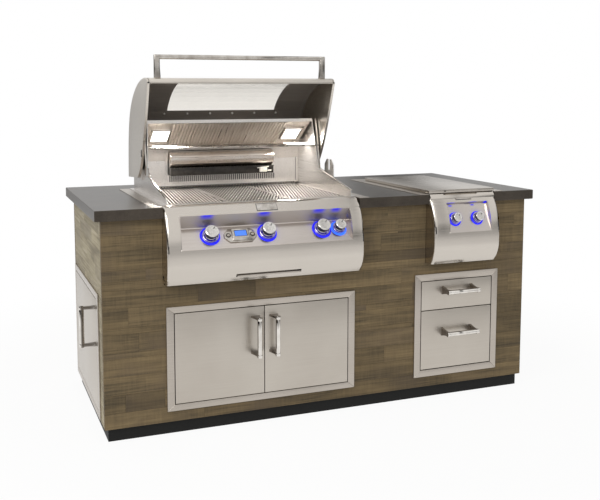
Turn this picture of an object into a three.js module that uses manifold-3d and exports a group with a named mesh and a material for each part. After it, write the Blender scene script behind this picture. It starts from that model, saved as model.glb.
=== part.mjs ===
// Outdoor kitchen island: a plank-clad cabinet with a stone worktop, a built-in gas grill with its
// hood up, a side burner under a flat cover, double doors, two drawers and an end door.
// Millimetres. X runs right along the front, Y to the back, Z up. The floor is at zero and the
// origin is the middle of the cabinet's footprint.
import * as THREE from 'three';
import { mergeVertices } from 'three/addons/utils/BufferGeometryUtils.js';
import Module from 'manifold-3d';

const wasm = await Module();
wasm.setup();

// Clearances and counts shared by all pieces
const fit = 0.3;
const overrun = 8;
const roundSides = 16;
const smallSides = 8;

// Cabinet and worktop
const island = { width: 1918, depth: 774, top: 872, kick: 52, kickSet: 15, kickWall: 18, board: 22 };
const counter = { thick: 42, front: 25, side: 26, back: 75, edge: 3 };
const worktopZ = island.top + counter.thick;

// Heights given to this are measured up from the worktop's top face
function above(heights) {
  return Object.fromEntries(Object.entries(heights).map(([name, high]) => [name, worktopZ + high]));
}

// Steel frame inside, and the shares of the spare width left of the grill and between the burners
const frame = { floor: 12, post: 30, rail: 32, sill: 20, partition: 18, crossWide: 60 };
const spread = { leftShare: 0.31516, middleShare: 0.44282, partitionShare: 0.519 };

// Grill box, set into the worktop
const grill = {
  width: 836, boxGap: 21, back: 263, wall: 3, slopeY: -34, sideLean: 3,
  ...above({ floor: -224, frontRim: 6, frontTop: 29, slopeTop: 96, sideTop: 110 }),
};
const ledge = { deep: 14, thick: 3, ...above({ grateTop: -9, plateTop: -68, burnerTop: -122 }) };
const liner = { flange: 45, back: 16, thick: 2, drop: 220, boxLip: 21 };

// Curved front panels: the outline runs from the top rear edge to the lower lip
const bull = { inset: 15, bulge: 95, rise: 306, wall: 3, lip: 34, steps: 20, ...above({ bottom: -302 }) };
const bullShares = [
  [0, 1], [0.26, 0.985], [0.43, 0.935], [0.6, 0.865], [0.745, 0.785], [0.86, 0.69],
  [0.94, 0.585], [0.985, 0.46], [1, 0.34], [0.975, 0.2], [0.83, 0.075], [0.65, 0],
];
const pocket = {
  leftIn: 56, rightIn: 54, tilt: 42, sheet: 2, ...above({ bottom: -164, ridge: -88, top: -35 }),
};
const sidePocket = {
  leftIn: 73, rightIn: 46, tilt: 22, sheet: 2, ...above({ bottom: -164, ridge: -48, top: -37 }),
};

// Knobs and the valves behind them; the places are shares of half the panel's width
const knob = {
  bore: 4, skirt: 23, waist: 20, cap: 28, high: 37, rise: 46, stand: 1, edge: 3, bezel: 35,
};
const rearKnob = {
  bore: 4, skirt: 19, waist: 17, cap: 23.5, high: 34, rise: 46, stand: 1, edge: 3, bezel: 28,
};
const sideKnob = {
  bore: 4, skirt: 17.5, waist: 15.5, cap: 20, high: 29, rise: 58, stand: 1, edge: 3, bezel: 25,
};
const bezel = { lip: 3, high: 6, foot: 1 };
const valve = {
  tube: 9, body: 11, bodyLong: 26, behind: 40, stemHole: 6, stemTop: 22, end: 30, tie: 16, hanger: 4,
};
const knobShares = { first: -0.5622, second: 0.0048, third: 0.5742, rear: 0.756 };
const sideKnobShares = { first: -0.3273, second: 0.3515 };

// Thermometer display on the fascia
const display = {
  placeShare: -0.2751, rise: 54, wide: 134, high: 62, plate: 6, blockWide: 72, blockHigh: 54,
  block: 13, screenWide: 52, screenHigh: 28, screenDeep: 3, screenUp: 4, chamfer: 22,
  buttonOut: 50, buttonRadius: 6, buttonHigh: 3.5, buttonStem: 2.2, buttonTravel: 2,
};

// Sliding drip tray below the fire box
const tray = {
  wide: 270, high: 9, ahead: 5, grip: 4, gripDrop: 1.5, setBack: 24, deep: 400, sheet: 1.5,
  slot: 3, rail: 12, railThick: 3, railDeep: 320, ...above({ z: -282 }),
};

// Rear housing over the grill box, with the reflector, lamps, rear burner and warming rack
const rear = {
  roofY: 20, shoulderY: 165, wallY: 215, wall: 3, topIn: 13, band: 14,
  ...above({ foot: 11, wallZ: 131, shoulderZ: 274, roofZ: 322 }),
};
const reflector = { endGap: 19, ribGap: 147, base: 2, rib: 5, ribs: 30, slope: 25 };
const lamp = { endGap: 86, wide: 98, start: 34, tip: 96, end: 130, deep: 28 };
const rearBurner = {
  endGap: 147, front: 156, back: 252, guard: 38, guardWall: 2, slack: 3,
  ...above({ bottom: 64, top: 100 }),
};
const rack = {
  front: -75, back: 58, endGap: 11, tube: 7, rod: 3, rods: 15, tabWide: 16, tabThick: 4,
  ...above({ z: 205 }),
};

// Burners, flavour plates and cooking grates
const mainBurner = { wide: 110, bar: 26, high: 22, frontSet: 37, back: 190, spacingShare: 0.30982 };
const plates = { ridges: 18, high: 14, thick: 2 };
const grate = { count: 3, rod: 6, rodThick: 9, pitch: 12, border: 10, thick: 11, turn: 45, slack: 2 };

// Hood, drawn open; its outline shares run over its depth and height
const hood = {
  front: -156, back: 285, wall: 2, cap: 10, capEdge: 5, lip: 7, steps: 20, hingeY: 70, pin: 5,
  linerNear: 6.6, linerFar: 36, linerWall: 2, linerStartShare: 0.09, linerEndShare: 0.66,
  ...above({ bottom: 58, hingeZ: 94, top: 500 }),
};
const hoodShares = [
  [0, 0.964], [0.018, 0.989], [0.181, 1], [0.49, 0.937], [0.744, 0.799],
  [0.88, 0.643], [0.957, 0.434], [0.995, 0.122], [1, 0],
];
const rimShares = [
  [0.537, 0.03], [0.424, 0.1], [0.297, 0.267], [0.184, 0.493], [0.086, 0.719], [0, 0.95],
];
const hoodWindow = {
  sideGap: 161, startShare: 0.135, endShare: 0.54, sight: 15, sightShare: 0.05,
  border: 14, borderShare: 0.02, offset: 2.3, glass: 4,
};
const hoodHandle = {
  endGap: 36, y: -122, tube: 10, postWide: 27, postTop: 24, postDeep: 18, waistShare: 0.5,
  ...above({ z: 587 }),
};
const spitMount = { sideGap: 6, thick: 4, front: -128, back: -34, foot: 24, slot: 9, ...above({ top: 140 }) };

// Side burner
const side = {
  width: 330, boxGap: 15, back: 205, wall: 2, burnerRadius: 52, burnerHigh: 20, pipe: 8,
  flangeBack: 74, ...above({ floor: -76 }),
};
const sideGrate = { bar: 9, thick: 8, step: 1.6, fingers: 4, rest: 10, set: 4, innerShare: 0.42 };
const cover = {
  sheet: 2, high: 13, overhang: 23, edge: 4, hinge: 6, knuckle: 40, pin: 3,
  handleWide: 176, handleOut: 12, handleThick: 5,
};

// Doors, drawers and their frames
const trim = { wide: 33, proud: 6, jamb: 3, jambDeep: 30, gap: 3, doorThick: 20, skin: 2 };
const pivot = { inset: 8, back: 5, pin: 2.5, past: 2.4 };
const doorSizes = {
  inset: 10, bottom: 96, handleOut: 39, ...above({ top: -397, handleLow: -621, handleHigh: -462 }),
};
const drawerSizes = {
  leftOver: 52, rightOver: 42, bottom: 99, deep: 520, rail: 12, railThick: 4, sheet: 2,
  lowWallShare: 0.5034, highWallShare: 0.4294, handleLong: 158, sideSlack: 4, floorRise: 14,
  ...above({ top: -354, split: -517, lowHandle: -617, highHandle: -430 }),
};
const endDoorSizes = {
  frontSet: 87, backSet: 37, handleSet: 143, bottom: 64,
  ...above({ top: -342, handleLow: -562, handleHigh: -400 }),
};
const pull = {
  bar: 8.5, collar: 11, cuff: 1.5, collarLong: 12, standoff: 54, post: 12, flare: 20, steps: 4,
};

// Finishes read from the photograph
const finishes = {
  planks: [0x6b5c3e, 0.75, 0], paleSide: [0xa89f8c, 0.7, 0], kick: [0x1f1f1e, 0.6, 0.1],
  stone: [0x8f8c86, 0.35, 0], frameSteel: [0x8a8a88, 0.55, 0.8], steel: [0xb5aca2, 0.3, 0.95],
  brightSteel: [0xd8d3cb, 0.15, 1], darkLiner: [0x3f3c37, 0.45, 0.7], glass: [0xe0dcd4, 0.08, 0],
  castIron: [0x4a4846, 0.6, 0.6], screen: [0x4c7fe0, 0.2, 0], lens: [0xfff6e0, 0.2, 0],
};
const looks = {};
for (const [name, [color, roughness, metalness]] of Object.entries(finishes)) {
  looks[name] = new THREE.MeshStandardMaterial({ color, roughness, metalness });
}

// Places worked out from the sizes above, with shared-out gaps in whole millimetres
const faceY = -island.depth / 2;
const rearY = island.depth / 2;
const endX = island.width / 2;
const deckZ = island.kick + fit;
const panelBack = faceY + bull.inset;
const boxFront = panelBack + fit;
const spareWidth = island.width - grill.width - side.width;
const grillLeft = -endX + Math.round(spareWidth * spread.leftShare);
const grillRight = grillLeft + grill.width;
const grillX = (grillLeft + grillRight) / 2;
const sideLeft = grillRight + Math.round(spareWidth * spread.middleShare);
const sideRight = sideLeft + side.width;
const sideX = (sideLeft + sideRight) / 2;
const boxHalf = grill.width / 2 - grill.boxGap;
const sideBoxHalf = side.width / 2 - side.boxGap;
const linerTop = worktopZ + fit + liner.thick;
const coverFront = faceY - cover.overhang;
const doors = { ...doorSizes, left: grillLeft + doorSizes.inset, right: grillRight - doorSizes.inset };
const drawers = {
  ...drawerSizes, left: sideLeft - drawerSizes.leftOver, right: sideRight + drawerSizes.rightOver,
};
const endDoor = {
  ...endDoorSizes, front: faceY + endDoorSizes.frontSet, back: rearY - endDoorSizes.backSet,
  handleY: faceY + endDoorSizes.handleSet,
};
const partitionX = doors.right + Math.round((drawers.left - doors.right) * spread.partitionShare);
const rad = Math.PI / 180;

// Solids from shapes, and joins and cuts
function facesIn(position, corners) {
  const [a, b, c] = [new THREE.Vector3(), new THREE.Vector3(), new THREE.Vector3()];
  let total = 0;
  for (let i = 0; i < corners.length; i += 3) {
    a.fromBufferAttribute(position, corners[i]);
    b.fromBufferAttribute(position, corners[i + 1]);
    c.fromBufferAttribute(position, corners[i + 2]);
    total += a.dot(b.cross(c));
  }
  return total < 0;
}

function solid(geometry) {
  const bare = geometry.clone();
  bare.deleteAttribute('normal');
  bare.deleteAttribute('uv');
  const welded = mergeVertices(bare);
  const corners = Uint32Array.from(welded.index.array);
  if (facesIn(welded.attributes.position, corners)) corners.reverse();
  return new wasm.Manifold(new wasm.Mesh({
    numProp: 3,
    vertProperties: Float32Array.from(welded.attributes.position.array),
    triVerts: corners,
  }));
}

function joined(...pieces) {
  return pieces.reduce((whole, piece) => whole.add(piece));
}

function cut(body, ...tools) {
  return tools.reduce((whole, tool) => whole.subtract(tool), body);
}

function block(x0, x1, y0, y1, z0, z1) {
  const geometry = new THREE.BoxGeometry(x1 - x0, y1 - y0, z1 - z0);
  geometry.translate((x0 + x1) / 2, (y0 + y1) / 2, (z0 + z1) / 2);
  return solid(geometry);
}

function outline(points) {
  return new THREE.Shape(points.map(([u, v]) => new THREE.Vector2(u, v)));
}

function extrusion(points, depth, bevel) {
  const options = { depth, bevelEnabled: false };
  if (bevel) {
    const rounding = { bevelEnabled: true, bevelSize: bevel, bevelThickness: bevel, bevelSegments: 2 };
    Object.assign(options, rounding, { bevelOffset: -bevel, depth: depth - 2 * bevel });
  }
  const geometry = new THREE.ExtrudeGeometry(outline(points), options);
  if (bevel) geometry.translate(0, 0, bevel);
  return geometry;
}

// An outline of (y, z) points drawn out along X
function alongX(points, x0, x1, bevel) {
  const geometry = extrusion(points, x1 - x0, bevel);
  geometry.applyMatrix4(new THREE.Matrix4().set(0, 0, 1, x0, 1, 0, 0, 0, 0, 1, 0, 0, 0, 0, 0, 1));
  return solid(geometry);
}

// An outline of (x, z) points drawn out along Y
function alongY(points, y0, y1, bevel) {
  const geometry = extrusion(points, y1 - y0, bevel);
  geometry.applyMatrix4(new THREE.Matrix4().set(1, 0, 0, 0, 0, 0, -1, y1, 0, 1, 0, 0, 0, 0, 0, 1));
  return solid(geometry);
}

// An outline of (x, y) points drawn out along Z
function alongZ(points, z0, z1, bevel) {
  const geometry = extrusion(points, z1 - z0, bevel);
  geometry.translate(0, 0, z0);
  return solid(geometry);
}

function rod(radius, from, to, sides = smallSides) {
  const start = new THREE.Vector3(...from);
  const run = new THREE.Vector3(...to).sub(start);
  const geometry = new THREE.CylinderGeometry(radius, radius, run.length(), sides);
  geometry.translate(0, run.length() / 2, 0);
  const turn = new THREE.Quaternion().setFromUnitVectors(new THREE.Vector3(0, 1, 0), run.normalize());
  geometry.applyQuaternion(turn);
  geometry.translate(start.x, start.y, start.z);
  return solid(geometry);
}

// A profile of (radius, height) points turned about the Z axis
function turned(points, sides = roundSides) {
  const geometry = new THREE.LatheGeometry(points.map(([r, h]) => new THREE.Vector2(r, h)), sides);
  geometry.rotateX(Math.PI / 2);
  return solid(geometry);
}

function toGeometry(body) {
  const { vertProperties, triVerts } = body.getMesh();
  const geometry = new THREE.BufferGeometry();
  geometry.setAttribute('position', new THREE.BufferAttribute(vertProperties, 3));
  geometry.setIndex(new THREE.BufferAttribute(triVerts, 1));
  geometry.computeVertexNormals();
  return geometry;
}

function placed(body, matrix) {
  return solid(toGeometry(body).applyMatrix4(matrix));
}

const model = new THREE.Group();

function addPiece(name, body, look, parent = model) {
  const mesh = new THREE.Mesh(toGeometry(body), look);
  mesh.name = name;
  parent.add(mesh);
  return mesh;
}

// Curved sheet outlines
function smoothOutline(corners, steps) {
  const corners3 = corners.map(([y, z]) => new THREE.Vector3(y, z, 0));
  const curve = new THREE.CatmullRomCurve3(corners3, false, 'centripetal');
  return curve.getSpacedPoints(steps).map((point) => [point.x, point.y]);
}

// The same outline moved sideways, by a distance that can change evenly along it
function offsetOutline(points, distance, inward, farDistance = distance) {
  return points.map(([y, z], i) => {
    const here = distance + (farDistance - distance) * i / (points.length - 1);
    const before = points[Math.max(i - 1, 0)];
    const after = points[Math.min(i + 1, points.length - 1)];
    const run = new THREE.Vector2(after[0] - before[0], after[1] - before[1]).normalize();
    return [y + inward * run.y * here, z - inward * run.x * here];
  });
}

function band(points, near, far, inward) {
  return [...offsetOutline(points, near, inward), ...offsetOutline(points, far, inward).reverse()];
}

// Cabinet
function buildPlinth() {
  const x = endX - island.kickSet;
  const y = rearY - island.kickSet;
  const wall = island.kickWall;
  const cells = [-x, -x / 2, 0, x / 2].map((at) => {
    const near = at + (at === -x ? wall : frame.crossWide / 2);
    const far = at + x / 2 - (at === x / 2 ? wall : frame.crossWide / 2);
    return block(near, far, -y + wall, y - wall, -overrun, island.kick + overrun);
  });
  addPiece('plinth', cut(block(-x, x, -y, y, 0, island.kick), ...cells), looks.kick);
}

function buildCabinetFrame() {
  const x = endX - island.board - fit;
  const y = rearY - island.board - fit;
  const top = island.top - fit;
  const wall = frame.post;
  const webLeft = partitionX - frame.partition / 2;
  const webRight = partitionX + frame.partition / 2;
  const bays = [[-x + wall, webLeft], [webRight, x - wall]].flatMap(([near, far]) => [
    block(near, far, -y - overrun, y - wall, deckZ + frame.floor, top + overrun),
    block(near, far, y - wall - overrun, y + overrun, deckZ + frame.floor + frame.sill, top - frame.rail),
  ]);
  const windows = [-1, 1].map((sx) => (
    block(Math.min(sx * (x - wall - overrun), sx * (x + overrun)), Math.max(sx * (x - wall - overrun),
      sx * (x + overrun)), -y + wall, y - wall, deckZ + frame.floor + frame.sill, top - frame.rail)
  ));
  const body = cut(block(-x, x, -y, y, deckZ, top), ...bays, ...windows);
  addPiece('cabinet_frame', body, looks.frameSteel);
}

function unitHole(unit, y0, y1) {
  const set = trim.wide - trim.gap - trim.jamb - fit;
  return block(unit.left + set, unit.right - set, y0, y1, unit.bottom + set, unit.top - set);
}

function buildCladding() {
  const top = island.top - fit;
  const inner = rearY - island.board - fit;
  const front = cut(
    block(-endX, endX, faceY, faceY + island.board, deckZ, top),
    unitHole(doors, faceY - overrun, faceY + island.board + overrun),
    unitHole(drawers, faceY - overrun, faceY + island.board + overrun),
    block(grillLeft - fit * 2, grillRight + fit * 2, faceY - overrun, faceY + island.board + overrun,
      bull.bottom - fit * 2, top + overrun),
    block(sideLeft - fit * 2, sideRight + fit * 2, faceY - overrun, faceY + island.board + overrun,
      bull.bottom - fit * 2, top + overrun),
  );
  addPiece('front_cladding', front, looks.planks);
  addPiece('rear_cladding', block(-endX, endX, rearY - island.board, rearY, deckZ, top), looks.planks);
  addPiece('right_cladding', block(endX - island.board, endX, -inner, inner, deckZ, top), looks.planks);
  const set = trim.wide - trim.gap - trim.jamb - fit;
  const left = cut(
    block(-endX, -endX + island.board, -inner, inner, deckZ, top),
    block(-endX - overrun, -endX + island.board + overrun, endDoor.front + set, endDoor.back - set,
      endDoor.bottom + set, endDoor.top - set),
  );
  addPiece('left_cladding', left, looks.paleSide);
}

function buildCountertop() {
  const x0 = -endX - counter.side;
  const x1 = endX + counter.side;
  const y0 = faceY - counter.front;
  const y1 = rearY + counter.back;
  const slab = alongZ([[x0, y0], [x1, y0], [x1, y1], [x0, y1]], island.top, worktopZ, counter.edge);
  const low = island.top - overrun;
  const high = worktopZ + overrun;
  const behind = liner.thick + 2 * fit;
  const notches = [
    block(grillLeft - fit * 2, grillRight + fit * 2, y0 - overrun, grill.back + behind, low, high),
    block(sideLeft - fit * 2, sideRight + fit * 2, y0 - overrun, side.back + behind, low, high),
  ];
  addPiece('countertop', cut(slab, ...notches), looks.stone);
}

// A steel tray edge: flange on the worktop with walls hanging into its cut-out, open at the front
function hangingLiner(left, right, back, flangeBack, boxWidth, centre) {
  const top = linerTop;
  const y0 = faceY - counter.front;
  const wallOut = { left: left + fit, right: right - fit, back: back + fit + liner.thick };
  const flange = block(left - liner.flange, right + liner.flange, y0 + counter.edge, back + flangeBack,
    worktopZ + fit, top);
  const walls = block(wallOut.left, wallOut.right, panelBack + fit, wallOut.back,
    worktopZ - liner.drop, top - fit);
  const halfBox = boxWidth / 2 + fit;
  const low = worktopZ - liner.drop - overrun;
  const frontOpening = block(left, right, y0 - overrun, panelBack + fit, low, top + overrun);
  const inside = block(wallOut.left + liner.thick, wallOut.right - liner.thick, y0 - overrun, back + fit,
    low, top + overrun);
  const shelf = cut(
    block(wallOut.left, wallOut.right, panelBack + fit, wallOut.back, worktopZ + fit, top),
    block(centre - halfBox, centre + halfBox, y0 - overrun, back + fit, worktopZ - overrun, top + overrun),
  );
  return joined(cut(joined(flange, walls), inside, frontOpening), shelf);
}

// Grill box
function buildGrillLiner() {
  const body = hangingLiner(grillLeft, grillRight, grill.back, liner.back, 2 * boxHalf, grillX);
  addPiece('grill_liner', body, looks.brightSteel);
}

function grillSideOutline() {
  return [
    [boxFront, grill.floor], [grill.back, grill.floor], [grill.back, grill.sideTop],
    [grill.slopeY + grill.sideLean, grill.sideTop], [grill.slopeY, grill.slopeTop], [boxFront, grill.frontTop],
  ];
}

function buildFirebox() {
  const left = grillX - boxHalf;
  const right = grillX + boxHalf;
  const wall = grill.wall;
  const shape = alongX(grillSideOutline(), left, right);
  const inside = block(left + wall, right - wall, boxFront + wall, grill.back - wall,
    grill.floor + wall, grill.sideTop + overrun);
  const frontCut = block(left + wall, right - wall, boxFront - overrun, boxFront + wall + overrun,
    grill.frontRim, grill.sideTop + overrun);
  const parts = [cut(shape, inside, frontCut)];
  for (const top of [ledge.grateTop, ledge.plateTop, ledge.burnerTop]) {
    parts.push(block(left, right, boxFront, boxFront + wall + ledge.deep, top - ledge.thick, top - fit));
    parts.push(block(left, right, rear.wallY - ledge.deep, grill.back, top - ledge.thick, top - fit));
  }
  // Lips that hang the box on the liner
  const lipTop = linerTop + fit + wall;
  for (const sx of [-1, 1]) {
    const near = grillX + sx * (boxHalf - wall);
    const far = grillX + sx * (boxHalf + liner.boxLip);
    parts.push(block(Math.min(near, far), Math.max(near, far), boxFront, grill.back, linerTop + fit, lipTop));
    // Hinge block and pin beside the box
    const blockFar = grillX + sx * (grill.width / 2 - hood.cap - fit);
    const pinFar = grillX + sx * (grill.width / 2 + fit);
    const size = hood.pin * 3;
    parts.push(block(Math.min(near, blockFar), Math.max(near, blockFar), hood.hingeY - size, hood.hingeY + size,
      hood.hingeZ - size * 2, grill.sideTop));
    parts.push(rod(hood.pin, [near, hood.hingeY, hood.hingeZ], [pinFar, hood.hingeY, hood.hingeZ], roundSides));
  }
  // Rails under the floor for the drip tray
  for (const sx of [-1, 1]) {
    const outer = grillX + sx * (tray.wide / 2 + fit + tray.railThick);
    const face = grillX + sx * (tray.wide / 2 + fit);
    const inner = grillX + sx * (tray.wide / 2 - tray.rail);
    const y1 = boxFront + tray.railDeep;
    parts.push(block(Math.min(outer, face), Math.max(outer, face), boxFront, y1,
      tray.z - fit - tray.railThick, grill.floor + wall));
    parts.push(block(Math.min(outer, inner), Math.max(outer, inner), boxFront, y1,
      tray.z - fit - tray.railThick, tray.z - fit));
  }
  // Upright mount for a spit motor, on the right-hand lip
  const mountX = grillRight + spitMount.sideGap;
  const plate = alongX([
    [spitMount.front, lipTop - wall], [spitMount.back, lipTop - wall],
    [spitMount.back, spitMount.top - spitMount.foot], [spitMount.back - spitMount.foot, spitMount.top],
    [spitMount.front + spitMount.foot, spitMount.top], [spitMount.front, spitMount.top - spitMount.foot],
  ], mountX, mountX + spitMount.thick);
  const middleY = (spitMount.front + spitMount.back) / 2;
  const slot = block(mountX - overrun, mountX + spitMount.thick + overrun, middleY - spitMount.slot,
    middleY + spitMount.slot, spitMount.top - spitMount.foot * 2, spitMount.top + overrun);
  const foot = block(right - wall, mountX + spitMount.thick, spitMount.front, spitMount.back,
    linerTop + fit, lipTop);
  parts.push(cut(plate, slot), foot);
  addPiece('firebox', joined(...parts), looks.steel);
}

function rearHalf(z) {
  const share = (z - grill.sideTop) / (rear.roofZ - grill.sideTop);
  return boxHalf - rear.topIn * share;
}

function leaning(body) {
  const geometry = toGeometry(body);
  const { position } = geometry.attributes;
  for (let i = 0; i < position.count; i += 1) {
    const share = rearHalf(position.getZ(i)) / boxHalf;
    position.setX(i, grillX + (position.getX(i) - grillX) * share);
  }
  return solid(geometry);
}

function buildRearHousing() {
  const wall = rear.wall;
  const base = grill.sideTop + fit;
  const half = boxHalf;
  const left = grillX - half;
  const right = grillX + half;
  const hollow = [
    [rear.roofY + wall, rear.roofZ - wall * 2], [rear.shoulderY - wall, rear.shoulderZ - wall],
    [rear.wallY - wall, rear.wallZ - wall / 2], [rear.wallY - wall, base - overrun],
    [grill.slopeY - overrun, base - overrun], [grill.slopeY - overrun, rear.roofZ - rear.band],
    [rear.roofY + wall, rear.roofZ - rear.band],
  ];
  const slopeShare = (grill.sideTop - grill.slopeTop) / grill.sideLean;
  const frontY = grill.slopeY + grill.sideLean + fit / slopeShare;
  const end = [
    [frontY, base], [rear.roofY, rear.roofZ], [rear.shoulderY, rear.shoulderZ], [rear.wallY, rear.wallZ],
    [rear.wallY, base],
  ];
  const upper = leaning(cut(alongX(end, left, right), alongX(hollow, left + wall, right - wall)));
  const insideHalf = half - grill.wall - fit;
  const lower = block(grillX - insideHalf, grillX + insideHalf, rear.wallY - wall + fit,
    rear.wallY - fit, rear.foot, base + overrun);
  const burnerHalf = boxHalf - rearBurner.endGap;
  const opening = block(
    grillX - burnerHalf - fit, grillX + burnerHalf + fit,
    rear.shoulderY - overrun, rear.wallY + overrun, rearBurner.bottom - fit,
    rearBurner.top + 2 * rearBurner.guard + rearBurner.slack + fit,
  );
  const tabs = [-1, 1].map((sx) => {
    const outer = grillX + sx * (rearHalf(rack.z) - wall / 2);
    const inner = grillX + sx * (rearHalf(rack.z) - rack.tabWide);
    return block(Math.min(outer, inner), Math.max(outer, inner), rear.roofY, rack.back + rack.rod,
      rack.z - rack.rod - fit - rack.tabThick, rack.z - rack.rod - fit);
  });
  addPiece('rear_housing', joined(cut(joined(upper, lower), opening), ...tabs), looks.steel);
}

// Sloping ribbed reflector under the housing's roof, with a lamp at each end
function buildReflector() {
  const slope = reflector.slope * rad;
  const [cos, sin] = [Math.cos(slope), Math.sin(slope)];
  const startY = rear.roofY + rear.wall + fit;
  const startZ = rear.roofZ - rear.band;
  // The panel runs back until its upper edge meets the inside of the sloping rear wall
  const lean = (rear.wallY - rear.shoulderY) / (rear.shoulderZ - rear.wallZ - rear.wall / 2);
  const toWall = rear.shoulderY - rear.wall - startY - reflector.base * sin;
  const toShoulder = rear.shoulderZ - rear.wall - startZ - reflector.base * cos;
  const length = (toWall + toShoulder * lean) / (cos - sin * lean) - fit;
  const half = boxHalf - reflector.endGap;
  const ribHalf = boxHalf - reflector.ribGap;
  const ribStep = 2 * ribHalf / reflector.ribs;
  const back = [[half, reflector.base], [-half, reflector.base]];
  const face = [[-half, 0], [-ribHalf, 0]];
  for (let i = 0; i < reflector.ribs; i += 1) {
    const x = -ribHalf + i * ribStep;
    face.push([x + ribStep / 4, -reflector.rib], [x + ribStep * 3 / 4, -reflector.rib], [x + ribStep, 0]);
  }
  face.push([half, 0]);
  const frameGroup = new THREE.Group();
  frameGroup.position.set(grillX, startY, startZ);
  frameGroup.rotation.x = -slope;
  model.add(frameGroup);
  addPiece('reflector_panel', alongY([...face, ...back], 0, length), looks.brightSteel, frameGroup);
  for (const [name, sx] of [['lamp_left', -1], ['lamp_right', 1]]) {
    const x = sx * (boxHalf - lamp.endGap);
    const wedge = [[lamp.start, -fit], [lamp.tip, -lamp.deep], [lamp.end, -fit]];
    addPiece(name, alongX(wedge, x - lamp.wide / 2, x + lamp.wide / 2), looks.lens, frameGroup);
  }
}

function buildRearBurner() {
  const { bottom, top, front, back, guard, guardWall } = rearBurner;
  const half = boxHalf - rearBurner.endGap;
  const left = grillX - half;
  const right = grillX + half;
  const centreZ = top + guard;
  const centreY = rear.wallY - rear.wall;
  const arc = (radius, steps) => Array.from({ length: steps + 1 }, (unused, i) => {
    const turn = Math.PI * (i / steps - 1 / 2);
    return [centreY - radius * Math.cos(turn), centreZ + radius * Math.sin(turn)];
  });
  const guardShape = [...arc(guard, roundSides / 2), ...arc(guard - guardWall, roundSides / 2).reverse()];
  const box = block(left, right, front, back, bottom, top + guardWall);
  const face = block(left + guardWall, right - guardWall, front - overrun, front + guardWall,
    bottom + guardWall, top);
  addPiece('back_burner', joined(cut(box, face), alongX(guardShape, left, right)), looks.brightSteel);
}

function buildWarmingRack() {
  const left = grillX - boxHalf + rack.endGap;
  const right = grillX + boxHalf - rack.endGap;
  const parts = [
    rod(rack.tube, [left, rack.front, rack.z], [right, rack.front, rack.z], roundSides),
    rod(rack.rod, [left, rack.back, rack.z], [right, rack.back, rack.z]),
  ];
  const step = (right - left - 2 * rack.rod) / rack.rods;
  for (let i = 0; i <= rack.rods; i += 1) {
    const x = left + rack.rod + i * step;
    parts.push(rod(rack.rod, [x, rack.front, rack.z], [x, rack.back, rack.z]));
  }
  addPiece('warming_rack', joined(...parts), looks.brightSteel);
}

function buildBurners() {
  const z0 = ledge.burnerTop;
  const half = mainBurner.wide / 2;
  const bar = mainBurner.bar;
  const burnerFront = panelBack + mainBurner.frontSet;
  for (let i = 0; i < grate.count; i += 1) {
    const x = grillX + (i - 1) * 2 * boxHalf * mainBurner.spacingShare;
    const shape = [
      [x - half, boxFront + grill.wall + fit], [x - half + bar, boxFront + grill.wall + fit],
      [x - half + bar, mainBurner.back - bar], [x + half - bar, mainBurner.back - bar],
      [x + half - bar, burnerFront], [x + half, burnerFront],
      [x + half, rear.wallY + fit], [x - half, rear.wallY + fit],
    ];
    addPiece(`main_burner_${i + 1}`, alongZ(shape, z0, z0 + mainBurner.high, grill.wall), looks.castIron);
  }
}

function buildFlavorPlate() {
  const left = grillX - boxHalf + grill.wall + fit;
  const right = grillX + boxHalf - grill.wall - fit;
  const step = (right - left) / plates.ridges;
  const z = ledge.plateTop;
  const upper = [];
  for (let i = 0; i < plates.ridges; i += 1) {
    upper.push([left + i * step, z], [left + (i + 1 / 2) * step, z + plates.high]);
  }
  upper.push([right, z]);
  const shape = [...upper.map(([x, y]) => [x, y + plates.thick]).reverse(), ...upper];
  const body = alongY(shape, boxFront + grill.wall + fit, rear.wallY - rear.wall - fit);
  addPiece('flavor_plate', body, looks.steel);
}

// Cooking grates: a frame filled with close diagonal rods, the middle one leaning the other way
function buildGrates() {
  const inner = 2 * (boxHalf - grill.wall - fit);
  const wide = (inner - grate.slack * (grate.count - 1)) / grate.count;
  const y0 = boxFront + grill.wall + fit;
  const y1 = rear.wallY - rear.wall - fit;
  const z0 = ledge.grateTop;
  for (let i = 0; i < grate.count; i += 1) {
    const x0 = grillX - inner / 2 + i * (wide + grate.slack);
    const x1 = x0 + wide;
    const field = block(x0, x1, y0, y1, z0, z0 + grate.thick);
    const opening = block(x0 + grate.border, x1 - grate.border, y0 + grate.border, y1 - grate.border,
      z0 - overrun, z0 + grate.thick + overrun);
    const reach = (wide + y1 - y0) / 2;
    const pitch = grate.pitch * Math.SQRT2;
    const bars = [];
    for (let at = -reach; at < reach; at += pitch) {
      const bar = new THREE.BoxGeometry(grate.rod, 2 * reach * Math.SQRT2, grate.rodThick);
      bar.rotateZ((i % 2 ? -1 : 1) * grate.turn * rad);
      bar.translate((x0 + x1) / 2, (y0 + y1) / 2 + at + pitch / 2, z0 + grate.thick / 2);
      bars.push(solid(bar));
    }
    const body = joined(cut(field, opening), joined(...bars).intersect(field));
    addPiece(`cooking_grate_${i + 1}`, body, looks.brightSteel);
  }
}

// Curved front panel with its recessed control fascia
const bullCorners = bullShares.map(([u, v]) => [panelBack - bull.bulge * u, bull.bottom + bull.rise * v]);
const bullPoints = smoothOutline(bullCorners, bull.steps);

function bullY(z) {
  const i = bullPoints.findIndex((point) => point[1] <= z);
  const [a, b] = [bullPoints[Math.max(i - 1, 0)], bullPoints[Math.max(i, 1)]];
  return a[0] + (b[0] - a[0]) * (z - a[1]) / (b[1] - a[1]);
}

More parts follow.
